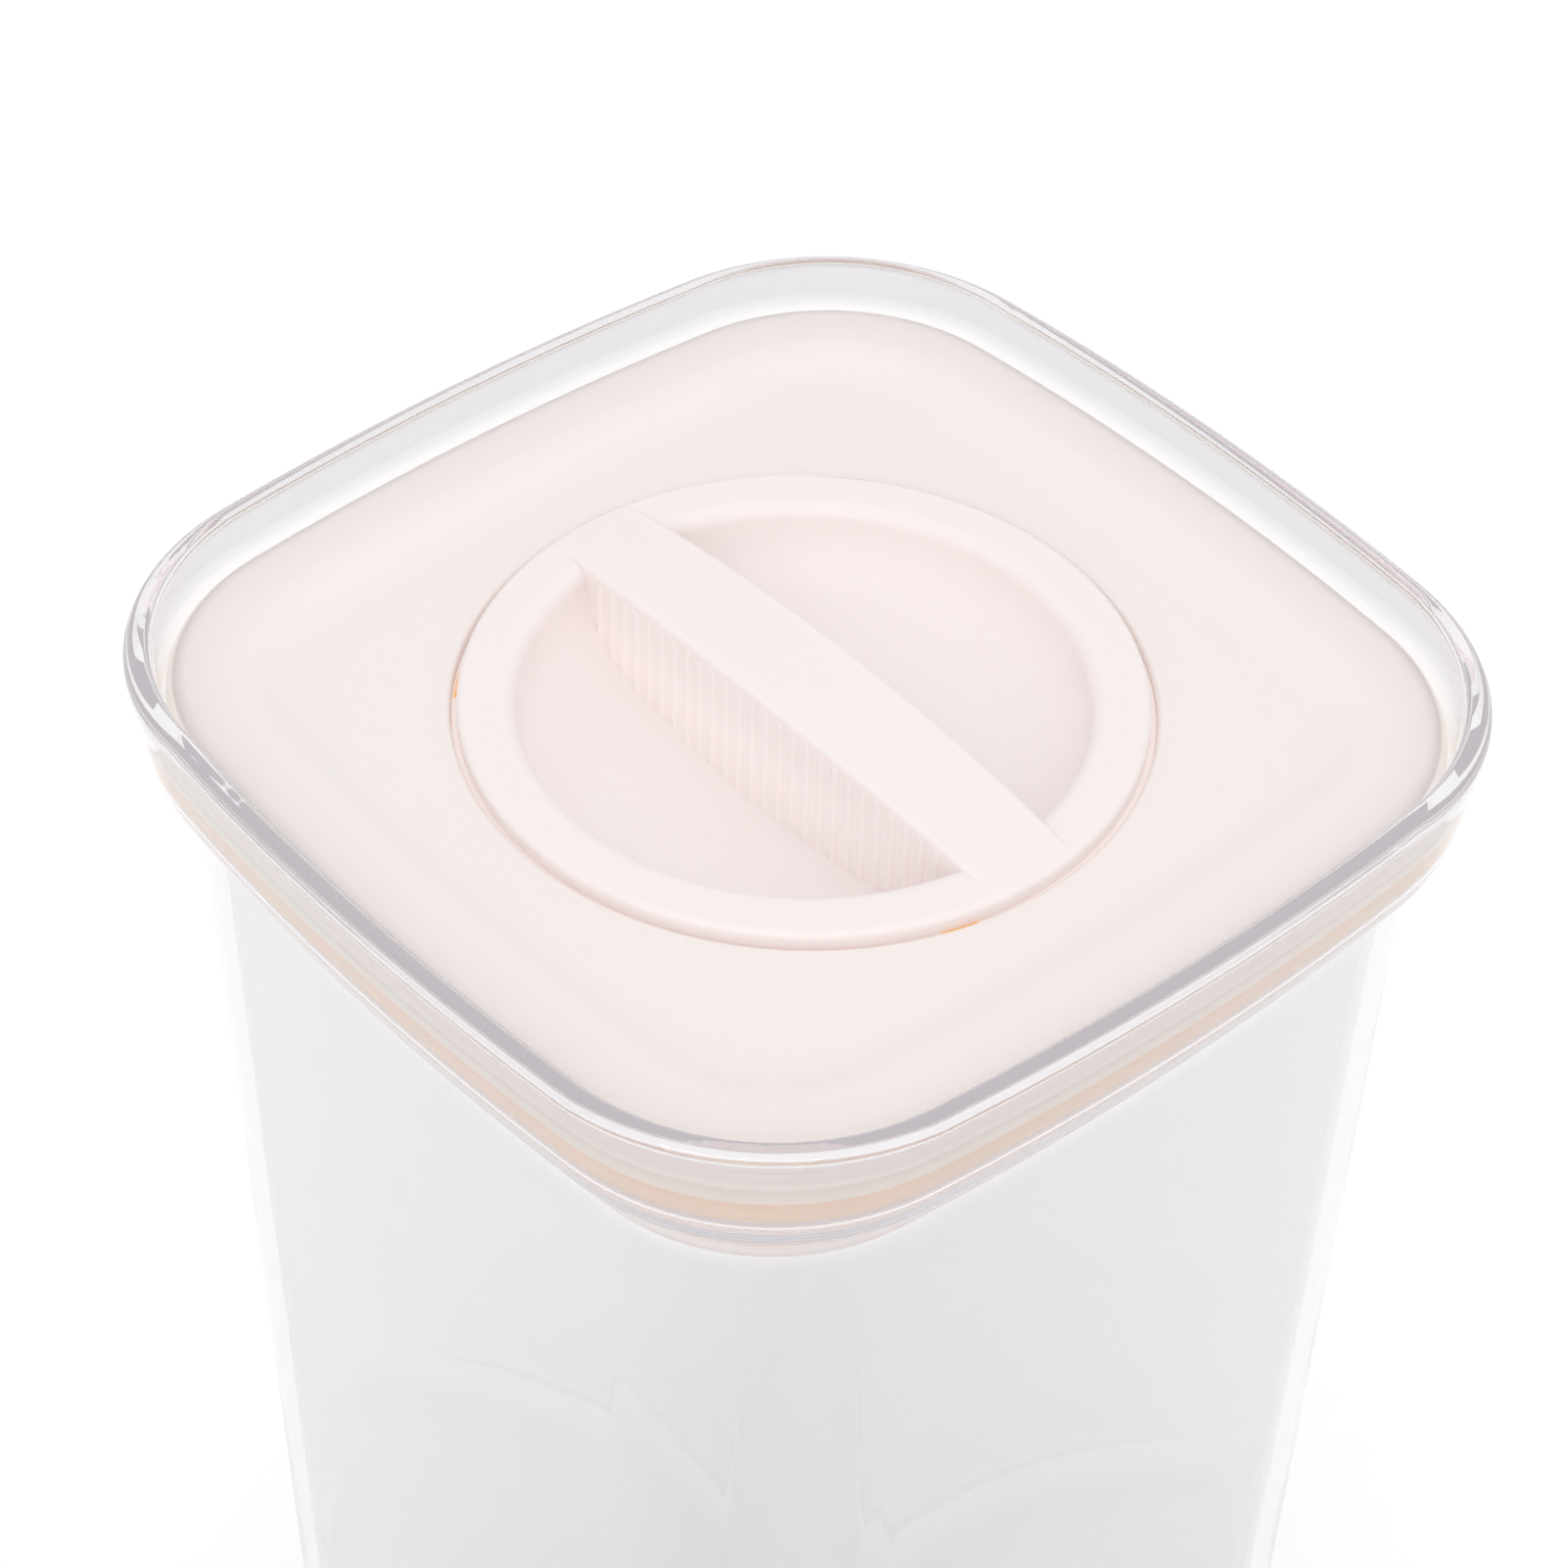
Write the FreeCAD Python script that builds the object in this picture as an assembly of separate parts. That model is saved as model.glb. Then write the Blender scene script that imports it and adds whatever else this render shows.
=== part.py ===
import FreeCAD, Part
import math
import os

# Cereal container: a clear square body with a stepped collar, and a lid that sits down
# inside the collar. Turning the knob lets the pressure plate under the lid drop, so that
# the gasket between the two slackens and the lid lifts out.
# Millimetres, +Z up, origin at the middle of the base. Depths are measured down from the
# top of the rim. The knob is modelled shut, with its grip bar along Y.

# Body
height = 235.0
rim_half = 56.0
corner_share = 0.4884
side_bow = 1.31
rim_wall = 2.8
rim_round = 1.2
rim_inner_round = 0.8
collar_depth = 10.0
collar_lean = 1.4
collar_draft = 0.3
neck_depth = 18.5
neck_inset = 5.9
neck_fillet = 3.0
ledge_drop = 5.5
ledge_fillet = 2.5
body_wall = 2.0
base_half = 44.4
floor_wall = 3.0
foot_round = 4.0
floor_round = 5.0
foot_width = 5.0
foot_recess = 0.6

# Lid cover
lid_drop = 4.0
lid_gap = 0.6
cover_wall = 1.8
edge_round = 2.0
band_width = 4.3
slope_width = 6.5
dish_drop = 1.5
skirt_depth = 8.0
cover_rib_drop = 5.5
hole_round = 0.4
hole_collar_drop = 1.0

# Twist knob
knob_inset = 22.3
knob_gap = 0.6
knob_set = 0.3
knob_edge_round = 0.7
knob_wall = 1.6
ring_width = 5.7
ring_lip_round = 1.6
bowl_depth = 11.9
bowl_floor_radius = 107.0
bowl_corner_share = 0.357
flange_thickness = 1.9
knob_skirt_wall = 1.9
knob_skirt_drop = 6.0
barb_count = 3
first_barb = 75.0
barb_reach = 1.8
barb_lip = 0.6
barb_height = 1.7
barb_width = 9.0
hub_radius = 6.0
hub_reach = 6.0
spigot_width = 7.0
spigot_reach = 3.0
stop_lug_length = 2.5
stop_lug_width = 3.0
stop_lug_inset = 2.0
shut_angle = 45.0
knob_turn = 90.0

# Grip bar of the knob
bar_half_width = 5.15
bar_bulge = 0.5
bar_crown = 2.0
bar_edge_round = 0.5
bar_wall = 1.9
bar_pocket_share = 0.78
rib_pitch = 2.0
rib_width = 1.0
rib_proud = 0.3
rib_root = 0.1
rib_top_gap = 0.9
rib_end_gap = 2.0

# Knob housing
shelf_drop = 0.2
shelf_thickness = 2.0
housing_wall = 1.6
housing_slack = 0.6
housing_floor = 1.6
housing_boss_radius = 9.5
housing_boss_drop = 3.0
window_count = 3
first_window = 135.0
window_length = 4.0
window_width = 1.7
window_drop = 1.0
window_edge = 0.15
ear_drop = 3.1
ear_thickness = 1.8
ear_radius = 3.4
ear_gap = 0.4

# Bearing and cam
washer_radius = 12.0
washer_thickness = 0.7
bush_wall = 1.5
o_ring_section = 1.5
o_ring_drop = 3.1
cam_radius = 21.0
cam_margin = 1.0
cam_track_width = 5.0
cam_base = 1.8
cam_boss_radius = 9.0
cam_web = 3.2
cam_ramps = 3
ramp_overlap = 9.0
ramp_step = 9.0
follower_radius = 1.6
follower_seat = 1.2
follower_angle = 30.0

# Pressure plate and the tray that closes it
plate_travel = 2.0
plate_thickness = 1.8
plate_gap = 0.9
plate_bore_gap = 0.5
plate_edge = 0.4
plate_drop = 0.3
plate_rib_wall = 1.8
plate_rib_gap = 0.5
guide_boss_drop = 1.1
tray_inset = 4.6
tray_wall = 1.6
tray_straight = 2.5
tray_slope_width = 7.0
tray_seal_height = 0.8
spigot_rib_wall = 1.4

# Gasket
gasket_wall = 1.6
gasket_bead = 0.45
gasket_bead_height = 2.0
gasket_lip_inset = 0.9
gasket_lip_bulge = 1.1
gasket_lip_height = 3.2
gasket_lip_clear = 0.9

# Screws and springs
shoulder_radius = 2.0
guide_thread_radius = 1.5
guide_thread_length = 4.9
guide_boss_wall = 1.6
guide_head_radius = 3.4
guide_head_height = 1.6
guide_inset = 8.7
ear_thread_radius = 1.1
ear_thread_length = 5.2
ear_head_radius = 2.4
ear_head_height = 1.4
hub_thread_radius = 1.25
hub_thread_length = 6.5
hub_head_radius = 3.2
hub_head_height = 1.4
hub_washer_radius = 4.2
hub_washer_height = 0.5
recess_length_share = 0.62
recess_width_share = 0.2
recess_depth_share = 0.5
wire_radius = 0.4
spring_radius = 3.2
spring_turns = 4

# Clearances
run_gap = 0.3
rest_gap = 0.1
fit_gap = 0.05
press_gap = 0.02
overrun = 1.0

# The rounded square that the rim, the neck and the lid pieces share
V = FreeCAD.Vector
ORIGIN = V(0, 0, 0)
UP = V(0, 0, 1)
corner_radius = rim_half * corner_share
corner_centre = rim_half - corner_radius - side_bow
side_reach = rim_half - corner_centre
side_radius = corner_centre**2 + side_reach**2 - corner_radius**2
side_radius = side_radius / (2 * (side_reach - corner_radius))
side_angle = math.degrees(math.atan2(corner_centre, corner_centre - rim_half + side_radius))

# Widths, each half of the square, that follow from the sizes above
neck_half = rim_half - neck_inset
neck_inner = neck_half - body_wall
collar_inner = rim_half - rim_wall - collar_draft
skirt_half = collar_inner - lid_gap
band_half = skirt_half - edge_round
slope_half = band_half - band_width
dish_half = slope_half - slope_width
seal_half = neck_inner - rest_gap - gasket_bead
gasket_inner = seal_half - gasket_wall
rib_half = gasket_inner - rest_gap
plate_half = neck_inner - plate_gap
tray_half = plate_half - tray_inset
tray_inner = tray_half - tray_wall

# Radii and places in plan
knob_radius = rim_half - knob_inset
hole_radius = knob_radius + knob_gap
lip_radius = hole_radius - fit_gap
bowl_radius = knob_radius - ring_width
bowl_corner_radius = bowl_radius * bowl_corner_share
barb_root = bowl_radius + knob_wall
shelf_inner = barb_root + run_gap
housing_inner = hole_radius - housing_slack
housing_radius = housing_inner + housing_wall
bush_radius = hub_radius + fit_gap + bush_wall
plate_bore = housing_boss_radius + plate_bore_gap
cam_track = cam_radius - cam_margin - cam_track_width / 2
stop_inner = bowl_radius - bowl_corner_radius + stop_lug_inset
stop_outer = stop_inner + stop_lug_length
ear_place = housing_radius + ear_gap + ear_radius
tray_corner = corner_centre * math.sqrt(2) + corner_radius - rim_half + tray_inner
guide_place = tray_corner - guide_inset
guide_boss_radius = shoulder_radius + guide_boss_wall

# Depths below the rim's top
dish_depth = lid_drop + dish_drop
knob_top = lid_drop + knob_set
flange_base = knob_top + flange_thickness
shelf_depth = flange_base + shelf_drop
shelf_base = shelf_depth + shelf_thickness
bowl_bottom = knob_top + bowl_depth
knob_floor = bowl_bottom + knob_wall
pocket_top = knob_top + bar_wall
skirt_base = flange_base + knob_skirt_drop
housing_floor_top = knob_floor + washer_thickness + rest_gap
housing_base = housing_floor_top + housing_floor
boss_base = housing_base + housing_boss_drop
cover_under = dish_depth + cover_wall
seat_depth = cover_under + hole_collar_drop
ear_top = cover_under + ear_drop
ear_base = ear_top + ear_thickness
cover_rib_base = skirt_depth + cover_rib_drop
plate_rib_top = cover_rib_base + plate_rib_gap
plate_top = housing_base + plate_drop
plate_base = plate_top + plate_thickness
hub_end = knob_floor + hub_reach
spigot_end = hub_end + spigot_reach
cam_web_base = hub_end + cam_web
follower_end = plate_base + plate_travel + run_gap
ramp_rise = plate_travel / knob_turn
follower_spread = math.degrees(follower_radius / cam_track)
ramp_rest = follower_end + rest_gap + ramp_rise * follower_spread
cam_top = ramp_rest + plate_travel + ramp_rise * ramp_overlap
cam_floor = max(cam_top + cam_base, cam_web_base + hub_washer_height + hub_head_height + rest_gap)
guide_boss_base = plate_base + guide_boss_drop
guide_seat = guide_boss_base + plate_travel + rest_gap
tray_top = plate_base + tray_seal_height
tray_floor = max(cam_floor, guide_seat + guide_head_height) + run_gap

# The knob bowl's corner arc touches its floor arc and its wall
corner_arc_place = bowl_radius - bowl_corner_radius
corner_arc_span = math.sqrt((bowl_floor_radius - bowl_corner_radius)**2 - corner_arc_place**2)
corner_arc_depth = bowl_bottom - bowl_floor_radius + corner_arc_span
under_radius = bowl_corner_radius + knob_wall


def level(depth):
    """Height above the base of a place this far below the rim's top."""
    return height - depth


def spot(radius, angle):
    """Point on a circle about the origin, at an angle in degrees."""
    return (radius * math.cos(math.radians(angle)), radius * math.sin(math.radians(angle)))


def bend(centre, radius, first, last):
    """Arc step of a section: its middle and its end, from one angle to another."""
    points = [spot(radius, angle) for angle in ((first + last) / 2, last)]
    return tuple((centre[0] + x, centre[1] + z) for x, z in points)


def section(start, *steps):
    """Closed face in the XZ plane. A step is a point, or an arc's middle and end."""
    edges = []
    here = V(start[0], 0, start[1])
    for step in steps:
        is_arc = isinstance(step[0], tuple)
        end = step[1] if is_arc else step
        there = V(end[0], 0, end[1])
        if is_arc:
            edges.append(Part.Arc(here, V(step[0][0], 0, step[0][1]), there).toShape())
        else:
            edges.append(Part.makeLine(here, there))
        here = there
    edges.append(Part.makeLine(here, V(start[0], 0, start[1])))
    return Part.Face(Part.Wire(edges))


def spun(face, angle=360):
    """Body of revolution of a section about the upright axis."""
    return face.revolve(ORIGIN, UP, angle)


def disc(radius, top, base, place=(0, 0)):
    """Upright cylinder between two depths."""
    return Part.makeCylinder(radius, base - top, V(place[0], place[1], level(base)))


def box(half_x, half_y, top, base, place=(0, 0)):
    """Upright block between two depths, centred on a place in plan."""
    corner = V(place[0] - half_x, place[1] - half_y, level(base))
    return Part.makeBox(2 * half_x, 2 * half_y, base - top, corner)


def turned(shape, angle):
    """Copy of a shape turned about the upright axis."""
    copy = shape.copy()
    copy.rotate(ORIGIN, UP, angle)
    return copy


def square_arcs():
    """Centre, radius, first and last angle of the square's eight arcs at the rim."""
    side = ((rim_half - side_radius, 0), side_radius, -side_angle, side_angle)
    corner = ((corner_centre, corner_centre), corner_radius, side_angle, 90 - side_angle)
    return [(quarter * 90, arc) for quarter in range(4) for arc in (side, corner)]


def outline(half, depth, share=1):
    """Rounded square wire in step with the rim, scaled about the axis by a share."""
    edges = []
    for turn, (centre, radius, first, last) in square_arcs():
        points = []
        for angle in (first, (first + last) / 2, last):
            x, y = spot(radius - rim_half + half, angle)
            points.append(V((centre[0] + x) * share, (centre[1] + y) * share, level(depth)))
        edges.append(turned(Part.Arc(*points).toShape(), turn))
    return Part.Wire(edges)


def slab(half, top, base):
    """Rounded square plate between two depths."""
    return Part.Face(outline(half, base)).extrude(V(0, 0, base - top))


def around(face):
    """Ring with a section whose x is half the square's width, swept round the square."""
    pieces = []
    for turn, (centre, radius, first, last) in square_arcs():
        piece = spun(face.translated(V(radius - rim_half, 0, 0)), last - first)
        piece = turned(piece, first).translated(V(centre[0], centre[1], 0))
        pieces.append(turned(piece, turn))
    return pieces[0].fuse(pieces[1:]).removeSplitter()


def frame(outer, inner, top, base):
    """Square ring of rectangular section."""
    corners = [(outer, level(top)), (outer, level(base)), (inner, level(base)), (inner, level(top))]
    return around(section(*corners))


def shoulder(start, lean, end, radius):
    """Two tangent arcs from a leaning wall in to an upright one: centres, radii, angle."""
    run = start[0] - end[0] - radius
    drop = start[1] - end[1]
    slope = math.radians(lean)
    upper = run**2 + drop**2 - radius**2
    upper = upper / (2 * (radius + run * math.cos(slope) - drop * math.sin(slope)))
    first = (start[0] - upper * math.cos(slope), start[1] + upper * math.sin(slope))
    second = (end[0] + radius, end[1])
    meet = math.degrees(math.atan2(second[1] - first[1], second[0] - first[0]))
    return first, upper, second, meet


# Container body

collar_slope = math.degrees(math.atan2(collar_lean, collar_depth - rim_round))
ledge_end = collar_depth + ledge_drop
ledge = shoulder((collar_inner, level(collar_depth)), 0, (neck_inner, level(ledge_end)), ledge_fillet)
ledge_edge, ledge_level = (ledge[0][i] + spot(ledge[1], ledge[3])[i] for i in (0, 1))


def collar():
    """Wall of the rim, the collar and the step in to the neck."""
    neck = (neck_half, level(neck_depth))
    collar_end = (rim_half - collar_lean, level(collar_depth))
    upper, radius, lower, meet = shoulder(collar_end, collar_slope, neck, neck_fillet)
    in_upper, in_radius, in_lower, in_meet = ledge
    rim_inner = rim_half - rim_wall
    return around(section(
        (rim_half - rim_round, level(0)),
        bend((rim_half - rim_round, level(rim_round)), rim_round, 90, -collar_slope),
        collar_end,
        bend(upper, radius, -collar_slope, meet),
        bend(lower, neck_fillet, meet + 180, 180),
        (neck_inner, level(neck_depth)),
        (neck_inner, level(ledge_end)),
        bend(in_lower, ledge_fillet, 180, in_meet + 180),
        bend(in_upper, in_radius, in_meet, 0),
        (rim_inner, level(rim_inner_round)),
        bend((rim_inner + rim_inner_round, level(rim_inner_round)), rim_inner_round, 180, 90)))


def rounded_at(solid, z, radius):
    """Solid with the edges that lie at one height rounded."""
    edges = [e for e in solid.Edges if abs(e.BoundBox.ZMin - z) + abs(e.BoundBox.ZMax - z) < press_gap]
    return solid.makeFillet(radius, edges)


def container_body():
    floor_depth = height - floor_wall
    wall_slope = (neck_half - base_half) / (height - neck_depth)
    floor_half = base_half + wall_slope * floor_wall - body_wall
    outer = [outline(neck_half, neck_depth), outline(neck_half, height, base_half / neck_half)]
    inner = [outline(neck_inner, neck_depth), outline(neck_inner, floor_depth, floor_half / neck_inner)]
    shell = rounded_at(Part.makeLoft(outer, True, True), 0, foot_round)
    space = rounded_at(Part.makeLoft(inner, True, True), floor_wall, floor_round)
    foot_share = (base_half - foot_round - foot_width) / neck_half
    recess = Part.Face(outline(neck_half, height, foot_share)).extrude(V(0, 0, foot_recess))
    return collar().fuse(shell.cut(space)).cut(recess).removeSplitter()


# Lid cover

def cover_ring():
    """Skirt, rounded edge, raised band and the slope down to the dish."""
    rise = dish_drop / 2
    reach = slope_width / 2
    radius = (reach**2 + rise**2) / dish_drop
    swing = math.degrees(math.asin(reach / radius))
    skirt_inner = skirt_half - cover_wall
    rib_inner = rib_half - cover_wall
    return around(section(
        (dish_half, level(dish_depth)),
        bend((dish_half, level(dish_depth) + radius), radius, -90, swing - 90),
        bend((slope_half, level(lid_drop) - radius), radius, swing + 90, 90),
        (band_half, level(lid_drop)),
        bend((band_half, level(lid_drop + edge_round)), edge_round, 90, 0),
        (skirt_half, level(skirt_depth)),
        (skirt_inner, level(skirt_depth)),
        (skirt_inner, level(lid_drop + cover_wall)),
        (rib_half, level(lid_drop + cover_wall)),
        (rib_half, level(cover_rib_base)),
        (rib_inner, level(cover_rib_base)),
        (rib_inner, level(lid_drop + cover_wall)),
        (dish_half, level(cover_under))))


def lid_cover():
    middle = slab(dish_half, dish_depth, cover_under)
    collar_wall = disc(hole_radius + housing_wall, cover_under - cover_wall / 2, seat_depth)
    cover = cover_ring().fuse([middle, collar_wall])
    bosses, pilots = [], []
    for corner in range(4):
        guide = spot(guide_place, 45 + 90 * corner)
        ear = spot(ear_place, 90 * corner)
        bosses.append(disc(guide_boss_radius, cover_under - cover_wall / 2, cover_rib_base, guide))
        bosses.append(disc(ear_radius, cover_under - cover_wall / 2, ear_top, ear))
        pilots.append(disc(guide_thread_radius, cover_rib_base - guide_thread_length, cover_rib_base, guide))
        pilots.append(disc(ear_thread_radius, ear_base - ear_thread_length, ear_top, ear))
    flare = (hole_radius + hole_round, level(dish_depth + hole_round))
    hole = spun(section(
        (0, level(seat_depth + overrun)),
        (hole_radius, level(seat_depth + overrun)),
        (hole_radius, level(dish_depth + hole_round)),
        bend(flare, hole_round, 180, 90),
        (hole_radius + hole_round, level(dish_depth - overrun)),
        (0, level(dish_depth - overrun))))
    return cover.fuse(bosses).cut(pilots + [hole]).removeSplitter()


# Knob housing

def under_bowl(radius):
    """Depth of the knob bowl's underside at a radius near its corner arc."""
    return corner_arc_depth + math.sqrt(under_radius**2 - (radius - corner_arc_place)**2)


def stop_block(top, base, angle):
    """Radial block, one of the stops that end the knob's turn."""
    block = box(stop_lug_length / 2, stop_lug_width / 2, top, base, ((stop_inner + stop_outer) / 2, 0))
    return turned(block, angle)


def knob_housing():
    cup = spun(section(
        (shelf_inner, level(shelf_depth)),
        (lip_radius, level(shelf_depth)),
        (lip_radius, level(seat_depth)),
        (housing_radius, level(seat_depth)),
        (housing_radius, level(housing_base)),
        (housing_boss_radius, level(housing_base)),
        (housing_boss_radius, level(boss_base)),
        (bush_radius, level(boss_base)),
        (bush_radius, level(housing_floor_top)),
        (housing_inner, level(housing_floor_top)),
        (housing_inner, level(shelf_base)),
        (shelf_inner, level(shelf_base))))
    ear_bridge = (ear_place - housing_inner) / 2 - housing_wall / 4
    added, removed = [], []
    for corner in range(4):
        place = spot(ear_place, 90 * corner)
        bridge = box(ear_bridge, ear_radius, ear_top, ear_base, (ear_place - ear_bridge, 0))
        added += [disc(ear_radius, ear_top, ear_base, place), turned(bridge, 90 * corner)]
        removed.append(disc(ear_thread_radius + fit_gap, ear_top - overrun, ear_base + overrun, place))
    window = box(window_width / 2, window_length / 2, shelf_depth - overrun, shelf_depth + window_drop,
                 (lip_radius - window_edge - window_width / 2, 0))
    for number in range(window_count):
        removed.append(turned(window, first_window + 360 / window_count * number))
    spread = 2 * math.degrees(math.asin(stop_lug_width / 2 / stop_inner))
    spread += math.degrees(run_gap / stop_inner)
    for half_turn in (0, 180):
        for angle in (shut_angle - spread, shut_angle + knob_turn + spread):
            block = stop_block(under_bowl(stop_inner) + run_gap, housing_floor_top + housing_floor / 2,
                               angle + half_turn)
            added.append(block)
    return cup.fuse(added).cut(removed).removeSplitter()


# Twist knob

def bowl_arcs(offset, outward):
    """Floor and corner arcs of the bowl, or of its underside at an offset, either way."""
    floor_centre = (0, level(bowl_bottom) + bowl_floor_radius)
    corner = (corner_arc_place, level(corner_arc_depth))
    meet = math.degrees(math.atan2(-corner_arc_span, corner_arc_place))
    floor_radius = bowl_floor_radius + offset
    radius = bowl_corner_radius + offset
    if outward:
        drop = corner_arc_depth - knob_top - ring_lip_round
        lip_angle = math.degrees(math.asin(drop / (radius + ring_lip_round)))
        return bend(floor_centre, floor_radius, -90, meet), bend(corner, radius, meet, lip_angle), lip_angle
    skirt_angle = -math.degrees(math.acos((barb_root - knob_skirt_wall - corner_arc_place) / radius))
    return bend(corner, radius, skirt_angle, meet), bend(floor_centre, floor_radius, meet, -90)


def knob_body():
    """Ring, bowl and skirt of the knob, all round."""
    floor_arc, corner_arc, lip_angle = bowl_arcs(0, True)
    reach = (bowl_corner_radius + ring_lip_round) * math.cos(math.radians(lip_angle))
    lip = (corner_arc_place + reach, level(knob_top + ring_lip_round))
    edge = (knob_radius - knob_edge_round, level(knob_top + knob_edge_round))
    skirt_inner = barb_root - knob_skirt_wall
    under_corner, under_floor = bowl_arcs(knob_wall, False)
    return spun(section(
        (0, level(bowl_bottom)),
        floor_arc,
        corner_arc,
        bend(lip, ring_lip_round, lip_angle + 180, 90),
        (knob_radius - knob_edge_round, level(knob_top)),
        bend(edge, knob_edge_round, 90, 0),
        (knob_radius, level(flange_base)),
        (barb_root, level(flange_base)),
        (barb_root, level(skirt_base)),
        (skirt_inner, level(skirt_base)),
        (skirt_inner, level(under_bowl(skirt_inner))),
        under_corner,
        under_floor))


def bar_room():
    """Space that the grip bar may fill, from the bowl's underside up past the ring."""
    edge = knob_radius - knob_edge_round
    skirt_inner = barb_root - knob_skirt_wall
    return spun(section(
        (0, level(knob_top - bar_crown - overrun)),
        (edge, level(knob_top - bar_crown - overrun)),
        (edge, level(knob_top + knob_edge_round)),
        (barb_root, level(flange_base)),
        (skirt_inner, level(under_bowl(skirt_inner))),
        *bowl_arcs(knob_wall, False)))


def crown(lower):
    """Long drum along X whose top is the grip bar's crown, lowered by a step."""
    reach = knob_radius - knob_edge_round
    radius = (reach**2 + bar_crown**2) / (2 * bar_crown)
    middle = level(knob_top - bar_crown + lower) - radius
    return Part.makeCylinder(radius, 2 * knob_radius, V(-knob_radius, 0, middle), V(1, 0, 0))


def bar_side(y):
    """Half the grip bar's width at a place along it."""
    radius = (bowl_radius**2 + bar_bulge**2) / (2 * bar_bulge)
    return bar_half_width + bar_bulge - radius + math.sqrt(radius**2 - y**2)


def upright(points_and_arcs):
    """Prism through the knob's whole depth on a plan of straight edges and arcs."""
    face = Part.Face(Part.Wire(points_and_arcs))
    face.translate(V(0, 0, level(knob_floor)))
    return face.extrude(V(0, 0, knob_floor - knob_top + bar_crown + overrun))


def smooth_bar():
    """Bar with bulging sides and a crowned top with rounded edges."""
    reach = knob_radius
    sides = []
    for side in (1, -1):
        points = [V(side * bar_side(y), y, 0) for y in (-side * reach, 0, side * reach)]
        sides.append(Part.Arc(*points).toShape())
    right, left = sides
    ends = [Part.makeLine(right.Vertexes[-1].Point, left.Vertexes[0].Point),
            Part.makeLine(left.Vertexes[-1].Point, right.Vertexes[0].Point)]
    bar = upright([right, ends[0], left, ends[1]]).common(crown(0))
    low = level(knob_top + bar_edge_round)
    tops = [e for e in bar.Edges if e.BoundBox.ZMin > low - bar_crown and e.BoundBox.YLength > reach]
    return bar.makeFillet(bar_edge_round, tops)


def ribbed_bar():
    """Narrower block with upright ribs that stand out of the bar's two sides."""
    count = int(2 * (bowl_radius - rib_end_gap) / rib_pitch)
    edges = []
    for side in (1, -1):
        here = None
        for rib in range(count):
            y = side * (rib - (count - 1) / 2) * rib_pitch
            root = side * (bar_side(y) - rib_root)
            tip = side * (bar_side(y) + rib_proud)
            first, last = V(root, y - side * rib_width / 2, 0), V(root, y + side * rib_width / 2, 0)
            if here:
                edges.append(Part.makeLine(here, first))
            edges.append(Part.Arc(first, V(tip, y, 0), last).toShape())
            here = last
        edges.append(Part.makeLine(here, V(-edges[-1].Vertexes[-1].X, here.y, 0)))
    return upright(edges).common(crown(rib_top_gap))


def barb(angle):
    """Hook on the knob's skirt that snaps under the housing's shelf."""
    top = shelf_base + run_gap
    hook = section(
        (barb_root - knob_skirt_wall / 2, level(top)),
        (barb_root + barb_reach, level(top)),
        (barb_root + barb_reach, level(top + barb_lip)),
        (barb_root - knob_skirt_wall / 2, level(top + barb_height)))
    spread = math.degrees(barb_width / barb_root)
    return turned(spun(hook, spread), angle - spread / 2)


def twist_knob():
    bars = smooth_bar().fuse(ribbed_bar()).common(bar_room())
    pocket = box(bar_half_width - bar_wall, bar_pocket_share * bowl_radius, pocket_top, knob_floor + overrun)
    post = disc(bar_half_width - bar_wall / 2, pocket_top - bar_wall / 2, knob_floor)
    pad = disc(washer_radius, knob_floor - knob_wall / 2, knob_floor)
    hub = disc(hub_radius, knob_floor - knob_wall / 2, hub_end)
    spigot = box(spigot_width / 2, spigot_width / 2, hub_end - knob_wall, spigot_end)
    lug_top = under_bowl(stop_outer) - knob_wall / 4
    lugs = [stop_block(lug_top, housing_floor_top - run_gap, shut_angle + half) for half in (0, 180)]
    barbs = [barb(first_barb + 360 / barb_count * number) for number in range(barb_count)]
    knob = knob_body().fuse(bars).cut(pocket).fuse([post, pad, hub, spigot] + lugs + barbs)
    groove_top = knob_floor + o_ring_drop - o_ring_section / 2 - fit_gap
    groove = disc(hub_radius + overrun, groove_top, groove_top + o_ring_section + 2 * fit_gap)
    groove = groove.cut(disc(hub_radius - o_ring_section - fit_gap, groove_top - overrun, hub_end))
    pilot = disc(hub_thread_radius, cam_web_base - hub_thread_length, spigot_end + overrun)
    return knob.cut([groove, pilot]).removeSplitter()


# Bearing, cam and their fastening

def thrust_washer():
    top = housing_floor_top - washer_thickness
    return disc(washer_radius, top, housing_floor_top).cut(
        disc(hub_radius + run_gap, top - overrun, housing_floor_top + overrun))


def hub_bush():
    sleeve = disc(bush_radius - press_gap, housing_floor_top, boss_base)
    return sleeve.cut(disc(hub_radius + fit_gap, housing_floor_top - overrun, boss_base + overrun))


def hub_o_ring():
    radius = o_ring_section / 2
    return Part.makeTorus(hub_radius - radius, radius, V(0, 0, level(knob_floor + o_ring_drop)))


def cam_ramp(angle):
    """Ramp that rises anticlockwise past a follower, so that opening the knob lowers it."""
    inner, outer = cam_track - cam_track_width / 2, cam_track + cam_track_width / 2
    low = level(cam_top + cam_base / 2)
    steps = int((knob_turn + 2 * ramp_overlap) / ramp_step)
    wires = []
    for step in range(steps + 1):
        along = step * ramp_step - knob_turn - ramp_overlap
        top = level(ramp_rest - ramp_rise * along)
        corners = [V(inner - overrun, 0, low), V(outer + overrun, 0, low),
                   V(outer + overrun, 0, top), V(inner - overrun, 0, top)]
        wires.append(turned(Part.makePolygon(corners + corners[:1]), angle + along))
    track = disc(outer, ramp_rest - plate_travel, cam_top + cam_base)
    track = track.cut(disc(inner, ramp_rest - plate_travel, cam_top + cam_base))
    return Part.makeLoft(wires, True, True).common(track)


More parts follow.
